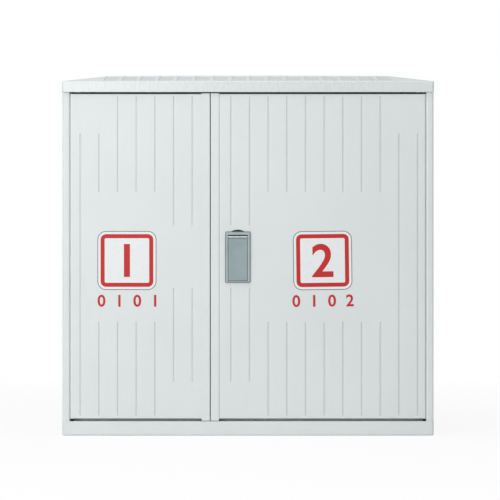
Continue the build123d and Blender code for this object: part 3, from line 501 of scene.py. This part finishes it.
@dataclass(frozen=True)
class DrawnMetal:
    """Drawn or machined bare metal with fine lines and a patchy film."""

    name: str
    colour: Colour
    film_and_shade: Colour
    roughness: float = 0.28
    patch_scale: float = 28.0
    grain: tuple[float, float, float] = (30.0, 500.0, 500.0)
    grain_depth: float = 0.03 * MM

    def material(self) -> bpy.types.Material:
        """Build the material."""
        recipe = Recipe(self.name)
        lines = recipe.stretched(self.grain, 3.0)
        patches = recipe.noise(self.patch_scale, 4.0, 0.6).fade(0.35, 0.75)
        inputs = {
            "Base Color": recipe.blend(patches, self.colour, self.film_and_shade),
            "Roughness": self.roughness + patches * 0.14 + (lines - 0.5) * 0.12,
            "Metallic": 1.0,
            "Normal": recipe.bump(lines, self.grain_depth, 0.35),
        }
        return recipe.surface(inputs)


@dataclass(frozen=True)
class MouldedPlastic:
    """Injection moulded plastic or rubber with a fine spark-eroded grain."""

    name: str
    colour: Colour
    roughness: float = 0.5
    grain: float = 1600.0
    grain_depth: float = 0.04 * MM
    cloud_scale: float = 22.0

    def material(self) -> bpy.types.Material:
        """Build the material."""
        recipe = Recipe(self.name)
        grain = recipe.noise(self.grain, 1.0)
        cloud = recipe.noise(self.cloud_scale, 3.0).fade(0.25, 0.75)
        inputs = {
            "Base Color": recipe.blend(cloud, tint(self.colour, 0.93), tint(self.colour, 1.07)),
            "Roughness": self.roughness + (cloud - 0.5) * 0.1,
            "Normal": recipe.bump(grain, self.grain_depth, 0.5),
        }
        return recipe.surface(inputs)


@dataclass(frozen=True)
class PrintedInk:
    """Screen-printed ink: flat colour, slightly uneven, with a low sheen."""

    name: str
    colour: Colour
    roughness: float = 0.4
    cover_scale: float = 600.0

    def material(self) -> bpy.types.Material:
        """Build the material."""
        recipe = Recipe(self.name)
        cover = recipe.noise(self.cover_scale, 2.0).fade(0.3, 0.7)
        colour = recipe.blend(cover, tint(self.colour, 0.94), tint(self.colour, 1.06))
        return recipe.surface({"Base Color": colour, "Roughness": self.roughness + cover * 0.08})


class Finish(Enum):
    """Every finish on the cabinet."""

    COMPOUND = MouldedCompound("light_grey_compound", srgb(223, 229, 229))
    ROOF = RoofCompound("roof_compound", srgb(220, 226, 226), 0.28)
    # Painted shadow: the dark grey of the strip along the right door's stile edge.
    STILE_SHADOW = MouldedPlastic("stile_shadow_grey", srgb(112, 118, 120), 0.6)
    LOCK_FRAME = PaintedCasting("grey_lock_paint", srgb(176, 188, 190))
    BEZEL = BezelPaint("grey_bezel_paint", srgb(176, 188, 190))
    LOCK_COVER = PaintedCasting("blue_grey_cover_paint", srgb(150, 166, 170), 0.42, 0.1)
    GALVANISED = Galvanised("galvanised_sheet", (0.62, 0.64, 0.66))
    STEEL = DrawnMetal("zinc_plated_steel", (0.66, 0.67, 0.69), (0.50, 0.51, 0.52))
    COPPER = DrawnMetal("bare_copper", (0.66, 0.33, 0.21), (0.40, 0.21, 0.14), 0.34)
    RUBBER = MouldedPlastic("black_rubber", (0.022, 0.022, 0.024), 0.7, 900.0)
    BLACK = MouldedPlastic("black_plastic", (0.028, 0.03, 0.032), 0.45)
    BREAKER = MouldedPlastic("breaker_case", (0.045, 0.048, 0.052), 0.5)
    INSULATOR = MouldedPlastic("red_insulator", (0.36, 0.035, 0.022), 0.38)
    NYLON = MouldedPlastic("natural_nylon", (0.72, 0.71, 0.66), 0.4)
    RED_INK = PrintedInk("red_ink", srgb(196, 30, 30))
    WHITE_INK = PrintedInk("white_ink", srgb(234, 237, 238))
    DARK_INK = PrintedInk("dark_ink", srgb(60, 62, 66))
    GREEN_INK = PrintedInk("green_ink", srgb(40, 130, 70))
    YELLOW_INK = PrintedInk("yellow_ink", srgb(228, 186, 40))
    BLUE_INK = PrintedInk("blue_ink", srgb(40, 92, 165))
    BRASS = DrawnMetal("brass", (0.74, 0.56, 0.28), (0.52, 0.38, 0.20), 0.32)
    TOGGLE = MouldedPlastic("toggle_grey", (0.30, 0.31, 0.32), 0.42)
    DARK_STEEL = DrawnMetal("blackened_steel", (0.045, 0.045, 0.05), (0.03, 0.03, 0.033), 0.45)
    LOCK_BAR = PaintedCasting("light_lock_bar", srgb(205, 214, 214), 0.3, 0.3)


class Paintbox:
    """Builds each finish once and hands it out."""

    def __init__(self) -> None:
        """Start with no material built."""
        self.built: dict[Finish, bpy.types.Material] = {}

    def of(self, finish: Finish) -> bpy.types.Material:
        """Give a finish's material, building it on first use."""
        if finish not in self.built:
            self.built[finish] = finish.value.material()
        return self.built[finish]


class Workshop:
    """Turns bmeshes into pieces that ride on the cabinet's bodies."""

    weld: float = 1e-7
    font_per_figure: float = 1.45
    curve_steps: int = 6

    def __init__(self, paints: Paintbox) -> None:
        """Keep the finishes at hand.

        Args:
            paints: The finishes.
        """
        self.paints = paints

    def piece(
        self, name: str, shape: bmesh.types.BMesh, body: str, finish: Finish
    ) -> bpy.types.Object:
        """Make a finished piece from a bmesh.

        Args:
            name: The piece's name.
            shape: Its shape, in the cabinet's own place; it is freed here.
            body: The body that carries it.
            finish: Its finish.

        Returns:
            The new object.
        """
        bmesh.ops.remove_doubles(shape, verts=shape.verts, dist=self.weld)
        bmesh.ops.recalc_face_normals(shape, faces=shape.faces)
        mesh = bpy.data.meshes.new(name)
        shape.to_mesh(mesh)
        shape.free()
        made = bpy.data.objects.new(name, mesh)
        bpy.context.scene.collection.objects.link(made)
        mesh.materials.append(self.paints.of(finish))
        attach(made, body)
        log.info("%s rides on %s, %d faces", name, body, len(mesh.polygons))
        return made

    def figures(
        self, name: str, text: str, height: float, thickness: float, place: Matrix, body: str,
        finish: Finish, weight: float = 0.0, spacing: float = 1.0,
    ) -> bpy.types.Object:
        """Print plain figures, centred on a place.

        Args:
            name: The piece's name.
            text: The figures.
            height: Their height, in metres.
            thickness: How far the ink stands up on each side of the place's plane.
            place: Where they go; they lie in its local XY plane.
            body: The body that carries them.
            finish: The ink.
            weight: How much the strokes are widened.
            spacing: The spacing of the figures.

        Returns:
            The new object.
        """
        curve = bpy.data.curves.new(f"{name}_curve", "FONT")
        curve.body = text
        curve.size = height * self.font_per_figure
        curve.extrude = thickness
        curve.offset = weight
        curve.space_character = spacing
        curve.resolution_u = self.curve_steps
        carrier = bpy.data.objects.new(f"{name}_text", curve)
        bpy.context.scene.collection.objects.link(carrier)
        bpy.context.view_layer.update()
        mesh = bpy.data.meshes.new_from_object(carrier)
        bpy.data.objects.remove(carrier)
        shape = bmesh.new()
        shape.from_mesh(mesh)
        bpy.data.meshes.remove(mesh)
        spans = [[vert.co[axis] for vert in shape.verts] for axis in (0, 1)]
        middle = [(min(span) + max(span)) / 2 for span in spans]
        centre = Matrix.Translation((-middle[0], -middle[1], 0))
        bmesh.ops.transform(shape, matrix=place @ centre, verts=shape.verts)
        return self.piece(name, shape, body, finish)

    def dress(self, finish: Finish, nodes: Iterable[str]) -> None:
        """Give carried-over nodes a finish.

        Args:
            finish: The finish.
            nodes: The nodes' names.
        """
        for name in nodes:
            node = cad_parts[name]
            node.data.materials.clear()
            node.data.materials.append(self.paints.of(finish))
            log.info("%s is %s", name, finish.value.name)


def edges_of(verts: Iterable[bmesh.types.BMVert]) -> set[bmesh.types.BMEdge]:
    """Collect the edges that meet at these vertices."""
    return {edge for vert in verts for edge in vert.link_edges}


def run(edge: bmesh.types.BMEdge) -> Vector:
    """Give an edge's run from one end to the other."""
    return edge.verts[0].co - edge.verts[1].co


def soften(
    shape: bmesh.types.BMesh, edges: Iterable[bmesh.types.BMEdge], width: float, steps: int
) -> list[bmesh.types.BMVert]:
    """Round or chamfer some edges.

    Args:
        shape: The bmesh they belong to.
        edges: The edges.
        width: The bevel's width, in metres.
        steps: How many faces it has across; one makes a chamfer.

    Returns:
        The bevel's vertices.
    """
    return bmesh.ops.bevel(
        shape, geom=list(edges), offset=width, segments=steps, profile=0.5, affect="EDGES",
        material=-1,
    )["verts"]


def block(shape: bmesh.types.BMesh, centre: Vector, size: Vector) -> list[bmesh.types.BMVert]:
    """Add a block about its centre, and give its vertices."""
    place = Matrix.Translation(centre) @ Matrix.Diagonal((*size, 1.0))
    return bmesh.ops.create_cube(shape, size=1.0, matrix=place)["verts"]


def prism(
    shape: bmesh.types.BMesh, sides: int, radius: float, length: float, place: Matrix
) -> list[bmesh.types.BMVert]:
    """Add a prism or a cylinder.

    Args:
        shape: The bmesh to add to.
        sides: How many sides it has.
        radius: The radius of its corners, in metres.
        length: Its length.
        place: Where its centre goes; it lies along local Z.

    Returns:
        Its vertices.
    """
    return bmesh.ops.create_cone(
        shape, cap_ends=True, segments=sides, radius1=radius, radius2=radius, depth=length,
        matrix=place,
    )["verts"]


def rounded_bar(shape: bmesh.types.BMesh, low: Sequence[float], high: Sequence[float]) -> None:
    """Add a straight bar between two corners, with its long edges rounded.

    Args:
        shape: The bmesh to add to.
        low: Its lowest corner.
        high: Its highest corner.
    """
    size = Vector(high) - Vector(low)
    made = block(shape, (Vector(high) + Vector(low)) / 2, size)
    along = {edge for edge in edges_of(made) if edge.calc_length() > max(size) * NEARLY_ALL}
    soften(shape, along, min(size) * BAR_EDGE_SHARE, BAR_EDGE_STEPS)


def rounded_slab(
    shape: bmesh.types.BMesh, size: tuple[float, float, float], corner: float, place: Matrix
) -> None:
    """Add a slab with rounded upright corners to a bmesh.

    Args:
        shape: The bmesh to add to.
        size: Its size across, up and through, in metres.
        corner: The radius of its corners.
        place: Where it goes; it lies in its local XY plane, centred.
    """
    made = block(shape, Vector(), Vector(size))
    corners = {edge for edge in edges_of(made) if abs(run(edge).z) > size[2] / 2}
    verts = {*soften(shape, corners, corner, SLAB_CORNER_STEPS), *made}
    bmesh.ops.transform(shape, matrix=place, verts=[vert for vert in verts if vert.is_valid])


@dataclass(frozen=True)
class HexHead:
    """Hexagon head on a flat washer."""

    radius: float
    height: float
    washer: float = 1.2 * MM
    chamfer: float = 0.5 * MM
    washer_sides: int = 24
    washer_share: float = 1.3
    sink: float = 0.95

    def add(self, shape: bmesh.types.BMesh, place: Matrix) -> None:
        """Add one head to a bmesh.

        Args:
            shape: The bmesh to add to.
            place: The seat's place; local Z points away from it.
        """
        disc = place @ Matrix.Translation((0, 0, self.washer / 2))
        prism(shape, self.washer_sides, self.washer_share * self.radius, self.washer, disc)
        foot = self.washer * self.sink
        middle = Matrix.Translation((0, 0, foot + self.height / 2))
        made = prism(shape, 6, self.radius, self.height, middle)
        high = foot + self.height * NEARLY_ALL
        top = {edge for edge in edges_of(made) if all(end.co.z > high for end in edge.verts)}
        verts = {*soften(shape, top, self.chamfer, 1), *made}
        bmesh.ops.transform(shape, matrix=place, verts=[vert for vert in verts if vert.is_valid])


def facing(x: float, y: float, z: float, tilt: float = 0.0) -> Matrix:
    """Place whose local XY plane faces the front of the cabinet, with local Y up.

    Args:
        x: Place across, in metres.
        y: Place in depth.
        z: Height.
        tilt: Turn against the clock seen from the front, in degrees.

    Returns:
        The placing matrix.
    """
    upright = Matrix.Rotation(radians(90), 4, "X")
    return Matrix.Translation((x, y, z)) @ upright @ Matrix.Rotation(radians(tilt), 4, "Z")


@dataclass
class NumberPlate:
    """A printed square number plate on a door: outline, red band, white field and plain figures."""

    name: str
    body: str
    slot: str
    digit: str
    row: str
    x: float
    z: float
    tilt: float = 0.0
    side: float = 152 * MM
    corner: float = 22 * MM
    least_corner: float = 2 * MM
    outline: float = 1.6 * MM
    margin: float = 8 * MM
    band: float = 10.5 * MM
    digit_height: float = 82 * MM
    row_drop: float = 104 * MM
    row_height: float = 29 * MM
    row_spacing: float = 1.32
    stroke: float = 2.0 * MM
    row_stroke: float = 2.0 / 2.2 * MM
    lift: float = 0.12 * MM

    def layer(self, shop: Workshop, part: str, inset: float, level: int, finish: Finish) -> None:
        """Print one square layer of the plate.

        Args:
            shop: The workshop.
            part: What the layer is.
            inset: How far inside the outer edge it ends.
            level: Its number in the stack.
            finish: Its ink.
        """
        shape = bmesh.new()
        side = self.side - 2 * inset
        corner = max(self.corner - inset, self.least_corner)
        place = facing(self.x, DOOR_FRONT - level * self.lift / 2, self.z, self.tilt)
        rounded_slab(shape, (side, side, level * self.lift), corner, place)
        shop.piece(f"{self.name}_{part}", shape, self.body, finish)

    def build(self, shop: Workshop) -> None:
        """Print the whole plate.

        Args:
            shop: The workshop.
        """
        layers = (
            ("outline", 0.0, Finish.DARK_INK),
            ("edge", self.outline, Finish.WHITE_INK),
            ("band", self.margin, Finish.RED_INK),
            ("field", self.margin + self.band, Finish.WHITE_INK),
        )
        for level, (part, inset, finish) in enumerate(layers, start=1):
            self.layer(shop, part, inset, level, finish)
        place = facing(self.x, DOOR_FRONT - len(layers) * self.lift, self.z, self.tilt)
        shop.figures(
            f"{self.name}_figure", self.digit, self.digit_height, self.lift, place,
            self.body, Finish.RED_INK, self.stroke,
        )
        drop = Matrix.Rotation(radians(-self.tilt), 4, "Y") @ Vector((0, 0, -self.row_drop))
        place = facing(self.x + drop.x, DOOR_FRONT, self.z + drop.z, self.tilt)
        shop.figures(
            f"{self.name}_row", self.row, self.row_height, 2 * self.lift, place,
            self.body, Finish.RED_INK, self.row_stroke, self.row_spacing,
        )


@dataclass
class Case:
    """The moulded case and what belongs to it."""

    compound: tuple[str, ...] = (
        "base_frame", "base_stops", "left_side_panel", "right_side_panel", "back_panel",
        "front_header", "centre_post", "left_vents", "right_vents", "left_door", "right_door",
    )
    steel: tuple[str, ...] = (
        "panel_bolts", "plate_standoffs", "plate_bolts", "left_upper_bolt", "left_lower_bolt",
    )
    dark_steel: tuple[str, ...] = ("hinge_pins", "roof_screws")
    rubber: tuple[str, ...] = ("left_door_seal", "right_door_seal", "cable_grommets")
    galvanised: tuple[str, ...] = ("gland_plate", "mounting_plate", "cable_rail", "cable_clamps")
    black: tuple[str, ...] = ("flush_bolt_guides", "rod_guides")
    roof: tuple[str, ...] = ("roof_cover",)
    stile_edge: float = -75.0 * MM
    shadow_width: float = 0.9 * MM
    shadow_proud: float = 0.2 * MM
    shadow_foot: float = 8 * MM
    shadow_head: float = 2 * MM
    strip_half: float = 434 * MM
    strip_gauge: float = 0.6 * MM
    strip_front: float = 1.5 * MM
    strip_back: float = 8.4 * MM

    def joints(self, shop: Workshop) -> None:
        """Lay a dark strip as painted shadow along the stile's inner edge on the right door, and
        line the header above the doors.

        Args:
            shop: The workshop.
        """
        # Painted shadow: a dark strip stands for the shadow line at the stile's inner edge on the
        # right door.
        low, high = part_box("right_door")
        inner, outer = self.stile_edge, self.stile_edge + self.shadow_width
        front, back = DOOR_FRONT - self.shadow_proud, DOOR_FRONT + self.shadow_proud
        shape = bmesh.new()
        rounded_bar(
            shape, (inner, front, low.z + self.shadow_foot), (outer, back, high.z - self.shadow_head)
        )
        shop.piece("stile_shadow_strip", shape, "right_door", Finish.STILE_SHADOW)
        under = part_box("roof_cover")[0].z
        front, back = DOOR_FRONT + self.strip_front, DOOR_FRONT + self.strip_back
        shape = bmesh.new()
        rounded_bar(
            shape, (-self.strip_half, front, under - self.strip_gauge),
            (self.strip_half, back, under),
        )
        shop.piece("header_strip", shape, "cabinet", Finish.RUBBER)

    def build(self, shop: Workshop) -> None:
        """Finish every part of the case, lay the painted stile shadow and line the header.

        Args:
            shop: The workshop.
        """
        shop.dress(Finish.COMPOUND, self.compound)
        shop.dress(Finish.ROOF, self.roof)
        self.joints(shop)
        shop.dress(Finish.STEEL, self.steel)
        shop.dress(Finish.DARK_STEEL, self.dark_steel)
        shop.dress(Finish.RUBBER, self.rubber)
        shop.dress(Finish.GALVANISED, self.galvanised)
        shop.dress(Finish.BLACK, self.black)


@dataclass
class Lock:
    """The flush lock and the rack drive behind it."""

    bezel_nodes: tuple[str, ...] = ("lock_frame",)
    frame_nodes: tuple[str, ...] = ("lock_handle", "gear_case")
    cover_nodes: tuple[str, ...] = ("lock_cover",)
    steel: tuple[str, ...] = ("lock_cover_pin", "gear_case_screws", "spindle_nut", "pinion")
    galvanised: tuple[str, ...] = ("gear_case_cover", "upper_rack_rod", "lower_rack_rod")
    nylon: tuple[str, ...] = ("spindle_bush",)
    barrel: tuple[float, float, float] = (-26.3 * MM, -185.3 * MM, 512.8 * MM)
    barrel_radius: float = 2.5 * MM
    barrel_half: float = 24.2 * MM
    sleeve_gauge: float = 0.15 * MM
    sleeve_sides: int = 32
    notch_half: float = 18.0 * MM
    notch_rise: float = 4.7 * MM
    notch_back: float = -181 * MM
    notch_steps: int = 16
    lining_gauge: float = 0.3 * MM
    lining_lap: float = 0.4 * MM

    def hinge_bar(self, shop: Workshop) -> None:
        """Slip a light sleeve over the cover's barrel.

        Args:
            shop: The workshop.
        """
        shape = bmesh.new()
        radius = self.barrel_radius + self.sleeve_gauge
        across = Matrix.Translation(self.barrel) @ Matrix.Rotation(radians(90), 4, "Y")
        prism(shape, self.sleeve_sides, radius, 2 * self.barrel_half, across)
        shop.piece("hinge_bar_sleeve", shape, "lock_cover", Finish.LOCK_BAR)

    def notch_lining(self, shop: Workshop) -> None:
        """Lay the dark lining in the thumb notch above the bezel.

        Args:
            shop: The workshop.
        """
        shape = bmesh.new()
        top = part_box("lock_frame")[1].z
        front = self.notch_back - self.lining_gauge
        outline = []
        for step in range(self.notch_steps + 1):
            share = 2 * step / self.notch_steps - 1
            x = self.barrel[0] + share * self.notch_half
            outline.append(Vector((x, front, top + self.notch_rise * (1 - share**2))))
        foot = top - self.lining_lap
        outline += [Vector((point.x, point.y, foot)) for point in (outline[-1], outline[0])]
        face = shape.faces.new([shape.verts.new(point) for point in outline])
        grown = bmesh.ops.extrude_face_region(shape, geom=[face])["geom"]
        moved = [item for item in grown if isinstance(item, bmesh.types.BMVert)]
        bmesh.ops.translate(shape, vec=Vector((0, self.lining_gauge, 0)), verts=moved)
        shop.piece("notch_lining", shape, "right_door", Finish.RUBBER)

    def build(self, shop: Workshop) -> None:
        """Finish the lock's parts.

        Args:
            shop: The workshop.
        """
        shop.dress(Finish.BEZEL, self.bezel_nodes)
        shop.dress(Finish.LOCK_FRAME, self.frame_nodes)
        shop.dress(Finish.LOCK_COVER, self.cover_nodes)
        shop.dress(Finish.STEEL, self.steel)
        shop.dress(Finish.GALVANISED, self.galvanised)
        shop.dress(Finish.NYLON, self.nylon)
        self.hinge_bar(shop)
        self.notch_lining(shop)


@dataclass
class BarSleeves:
    """The coloured sleeves on the ends of the bars."""

    colours: tuple[tuple[str, Finish], ...] = (
        ("phase_bar_1", Finish.YELLOW_INK),
        ("phase_bar_2", Finish.GREEN_INK),
        ("phase_bar_3", Finish.RED_INK),
        ("neutral_bar", Finish.BLUE_INK),
        ("earth_bar", Finish.GREEN_INK),
    )
    left_inset: float = 38 * MM
    right_inset: float = 42 * MM
    length: float = 24 * MM
    swell: float = 0.8 * MM
    edge: float = 1 * MM
    edge_steps: int = 3

    def build(self, shop: Workshop) -> None:
        """Slip a sleeve over each end of each bar.

        Args:
            shop: The workshop.
        """
        for bar, finish in self.colours:
            low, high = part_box(bar)
            middle = (low + high) / 2
            thick = high - low + Vector((self.swell,) * 3)
            ends = (("left", low.x + self.left_inset), ("right", high.x - self.right_inset))
            for end, x in ends:
                shape = bmesh.new()
                size = Vector((self.length, thick.y, thick.z))
                block(shape, Vector((x, middle.y, middle.z)), size)
                along = [edge for edge in shape.edges if abs(run(edge).x) > self.edge]
                soften(shape, along, self.edge, self.edge_steps)
                shop.piece(f"{bar}_{end}_sleeve", shape, "cabinet", finish)


@dataclass
class BreakerMarks:
    """What is printed on the breakers: I and O at each toggle, and a number on each tag."""

    breakers: tuple[str, ...]
    rise: float = 24.2 * MM
    height: float = 5 * MM
    weight: float = 0.25 * MM
    ink: float = 0.1 * MM
    tag_size: tuple[float, float, float] = (30 * MM, 14 * MM, 0.8 * MM)
    tag_corner: float = 1.5 * MM
    tag_back: float = 15 * MM
    tag_drop: float = 44 * MM
    number_height: float = 9 * MM
    number_weight: float = 0.3 * MM

    def tag(self, shop: Workshop, breaker: str, number: int, seat: Vector) -> None:
        """Fix a numbered tag below a breaker's toggle.

        Args:
            shop: The workshop.
            breaker: The breaker.
            number: Its number.
            seat: The middle of the tag's back.
        """
        gauge = self.tag_size[2]
        shape = bmesh.new()
        middle = facing(seat.x, seat.y - gauge / 2, seat.z)
        rounded_slab(shape, self.tag_size, self.tag_corner, middle)
        shop.piece(f"{breaker}_tag", shape, "cabinet", Finish.WHITE_INK)
        shop.figures(
            f"{breaker}_tag_figure", str(number), self.number_height, self.ink,
            facing(seat.x, seat.y - gauge, seat.z), "cabinet", Finish.DARK_INK,
            self.number_weight,
        )

    def build(self, shop: Workshop) -> None:
        """Mark and tag every breaker.

        Args:
            shop: The workshop.
        """
        for number, breaker in enumerate(self.breakers):
            low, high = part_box(breaker)
            x, z = (low.x + high.x) / 2, (low.z + high.z) / 2
            for state, figure, rise in (("on", "I", self.rise), ("off", "O", -self.rise)):
                shop.figures(
                    f"{breaker}_mark_{state}", figure, self.height, self.ink,
                    facing(x, low.y, z + rise), "cabinet", Finish.WHITE_INK, self.weight,
                )
            seat = Vector((x, low.y + self.tag_back, z - self.tag_drop))
            self.tag(shop, breaker, number, seat)


@dataclass
class Switchgear:
    """Breakers, bars, links and their screws."""

    copper: tuple[str, ...] = (
        "phase_bar_1", "phase_bar_2", "phase_bar_3", "phase_1_links", "phase_2_links",
        "phase_3_links", "neutral_bar", "earth_bar",
    )
    breakers: tuple[str, ...] = (
        "main_breaker", "branch_breaker_1", "branch_breaker_2", "branch_breaker_3",
        "branch_breaker_4",
    )
    toggles: tuple[str, ...] = (
        "main_toggle", "branch_toggle_1", "branch_toggle_2", "branch_toggle_3", "branch_toggle_4",
    )
    insulators: tuple[str, ...] = ("busbar_supports", "neutral_insulators")
    main_pitch: float = 45 * MM
    branch_pitch: float = 30 * MM
    terminal_y: float = 88 * MM
    terminal_inset: float = 13 * MM
    link_gauge: float = 3 * MM
    neutral_screws: int = 16
    earth_screws: int = 14
    bar_pitch: float = 40 * MM
    clamps: int = 5
    clamp_pitch: float = 150 * MM
    clamp_half: float = 34 * MM
    clamp_foot: float = 3 * MM
    screw: HexHead = HexHead(5.5 * MM, 3.5 * MM)
    bolt: HexHead = HexHead(6.5 * MM, 4.5 * MM)
    small: HexHead = HexHead(4.5 * MM, 3.2 * MM, 1.0 * MM)

    def terminals(self, shop: Workshop) -> None:
        """Fit the screws of every pole, and the bolts of every link on its bar.

        Args:
            shop: The workshop.
        """
        shape = bmesh.new()
        for breaker in self.breakers:
            low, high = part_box(breaker)
            pitch = self.main_pitch if breaker == "main_breaker" else self.branch_pitch
            for pole in (-1, 0, 1):
                x = (low.x + high.x) / 2 + pole * pitch
                link_front = self.terminal_y - self.link_gauge
                self.screw.add(shape, facing(x, link_front, high.z - self.terminal_inset))
                self.screw.add(shape, facing(x, self.terminal_y, low.z + self.terminal_inset))
                bar_low, bar_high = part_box(f"phase_bar_{pole + 2}")
                level = (bar_low.z + bar_high.z) / 2
                self.bolt.add(shape, facing(x, bar_low.y - self.link_gauge, level))
        shop.piece("terminal_screws", shape, "cabinet", Finish.STEEL)

    def bar_screws(self, shop: Workshop) -> None:
        """Fit the row of screws on the neutral bar and on the earth bar.

        Args:
            shop: The workshop.
        """
        shape = bmesh.new()
        for bar, count in (("neutral_bar", self.neutral_screws), ("earth_bar", self.earth_screws)):
            low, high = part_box(bar)
            for step in range(count):
                x = (step - (count - 1) / 2) * self.bar_pitch
                self.bolt.add(shape, facing(x, low.y, (low.z + high.z) / 2))
        shop.piece("bar_screws", shape, "cabinet", Finish.BRASS)

    def clamp_screws(self, shop: Workshop) -> None:
        """Fit two screws in the feet of each cable clamp.

        Args:
            shop: The workshop.
        """
        shape = bmesh.new()
        low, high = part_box("cable_clamps")
        for step in range(self.clamps):
            middle = (step - (self.clamps - 1) / 2) * self.clamp_pitch
            for x in (middle - self.clamp_half, middle + self.clamp_half):
                seat = facing(x, high.y - self.clamp_foot, (low.z + high.z) / 2)
                self.small.add(shape, seat)
        shop.piece("clamp_screws", shape, "cabinet", Finish.STEEL)

    def build(self, shop: Workshop) -> None:
        """Finish the switchgear and add its screws and marks.

        Args:
            shop: The workshop.
        """
        shop.dress(Finish.COPPER, self.copper)
        shop.dress(Finish.BREAKER, self.breakers)
        shop.dress(Finish.TOGGLE, self.toggles)
        shop.dress(Finish.INSULATOR, self.insulators)
        self.terminals(shop)
        self.bar_screws(shop)
        self.clamp_screws(shop)
        BarSleeves().build(shop)
        BreakerMarks(self.breakers).build(shop)


@dataclass(frozen=True)
class Lamp:
    """One soft lamp, hung at a place and aimed at a point."""

    name: str
    place: tuple[float, float, float]
    aim: tuple[float, float, float]
    width: float
    height: float
    watts: float

    def hang(self) -> None:
        """Hang it in the scene."""
        data = bpy.data.lights.new(self.name, "AREA")
        data.energy = self.watts
        data.shape = "RECTANGLE"
        data.size = self.width
        data.size_y = self.height
        made = bpy.data.objects.new(self.name, data)
        made.location = self.place
        line = Vector(self.aim) - Vector(self.place)
        made.rotation_euler = line.to_track_quat("-Z", "Y").to_euler()
        bpy.context.scene.collection.objects.link(made)


@dataclass
class Studio:
    """Floor, lamps and camera, at the photograph's angle."""

    frame_px: float = 500.0
    distance: float = 5.0
    front: float = -190 * MM
    sensor: float = 36.0
    farthest: float = 100.0
    even_light: float = 0.437
    floor_radius: float = 9.0
    floor_sides: int = 96
    floor_grey: float = 0.9
    near: float = 0.6
    far: float = 2.2
    near_white: float = 0.88
    far_white: float = 0.12
    lamps: tuple[Lamp, ...] = (
        Lamp("key_lamp", (-2.2, -3.1, 1.3), LAMP_AIM, 1.8, 1.8, 36.0),
        Lamp("side_lamp", (3.0, -0.7, 1.0), LAMP_AIM, 1.6, 1.6, 4.5),
        Lamp("top_lamp", (-0.3, -0.6, 3.0), LAMP_AIM, 2.2, 2.2, 31.0),
        Lamp("brow_lamp", (-0.74, -2.8, 1.42), (-0.4, -0.19, 0.9), 0.76, 0.4, 8.0),
    )

    def camera(self) -> None:
        """Stand the camera square to the front, at mid height."""
        data = bpy.data.cameras.new("camera")
        data.sensor_width = self.sensor
        data.lens = data.sensor_width * self.distance / (self.frame_px * PIXEL)
        data.clip_end = self.farthest
        made = bpy.data.objects.new("camera", data)
        x, z = from_photo(self.frame_px / 2, self.frame_px / 2)
        made.location = (x, self.front - self.distance, z)
        made.rotation_euler = (radians(90), 0, 0)
        bpy.context.scene.collection.objects.link(made)
        bpy.context.scene.camera = made

    def world(self) -> None:
        """Light everything evenly, and show plain white to the camera."""
        world = bpy.data.worlds.new("studio_world")
        world.use_nodes = True
        tree = world.node_tree
        tree.nodes.clear()
        seen = tree.nodes.new("ShaderNodeLightPath")
        mix = tree.nodes.new("ShaderNodeMixShader")
        out = tree.nodes.new("ShaderNodeOutputWorld")
        tree.links.new(seen.outputs["Is Camera Ray"], mix.inputs[0])
        for place, strength in ((1, self.even_light), (2, 1.0)):
            shade = tree.nodes.new("ShaderNodeBackground")
            shade.inputs["Color"].default_value = (1.0, 1.0, 1.0, 1.0)
            shade.inputs["Strength"].default_value = strength
            tree.links.new(shade.outputs[0], mix.inputs[place])
        tree.links.new(mix.outputs[0], out.inputs["Surface"])
        bpy.context.scene.world = world

    def floor(self) -> None:
        """Lay the pale floor, which keeps the cabinet's shadow."""
        shape = bmesh.new()
        bmesh.ops.create_circle(
            shape, cap_ends=True, segments=self.floor_sides, radius=self.floor_radius
        )
        mesh = bpy.data.meshes.new("floor")
        shape.to_mesh(mesh)
        shape.free()
        made = bpy.data.objects.new("floor", mesh)
        bpy.context.scene.collection.objects.link(made)
        recipe = Recipe("pale_floor")
        seen = recipe.node("ShaderNodeLightPath", {}, {}).outputs["Is Camera Ray"]
        reach = recipe.node("ShaderNodeVectorMath", {"operation": "LENGTH"}, {0: recipe.place})
        away = Wire(recipe, reach.outputs["Value"]).fade(self.near, self.far)
        share = Wire(recipe, seen) * (away * self.far_white + self.near_white)
        grey = (self.floor_grey, self.floor_grey, self.floor_grey, 1.0)
        shadowed = recipe.node("ShaderNodeBsdfDiffuse", {}, {"Color": grey})
        white = recipe.node("ShaderNodeEmission", {}, {"Strength": 1.0})
        layers = {0: share, 1: shadowed.outputs[0], 2: white.outputs[0]}
        mix = recipe.node("ShaderNodeMixShader", {}, layers)
        recipe.node("ShaderNodeOutputMaterial", {}, {"Surface": mix.outputs[0]})
        mesh.materials.append(recipe.material)

    def build(self) -> None:
        """Set the whole studio."""
        self.floor()
        self.world()
        for lamp in self.lamps:
            lamp.hang()
        self.camera()
        bpy.context.scene.view_settings.view_transform = "Standard"


def main() -> None:
    """Build the sub-assemblies in order."""
    logging.basicConfig(level=logging.INFO, format="%(message)s")
    shop = Workshop(Paintbox())
    Case().build(shop)
    Lock().build(shop)
    Switchgear().build(shop)
    left = from_photo(126.8, 260.5)
    right = from_photo(322.7, 260.5)
    NumberPlate("left_plate", "left_door", "smc_grey", "1", "0 1 0 1", *left).build(shop)
    NumberPlate("right_plate", "right_door", "smc_grey", "2", "0 1 0 2", *right, 0.7).build(shop)
    Studio().build()


if __name__ == "__main__":
    main()
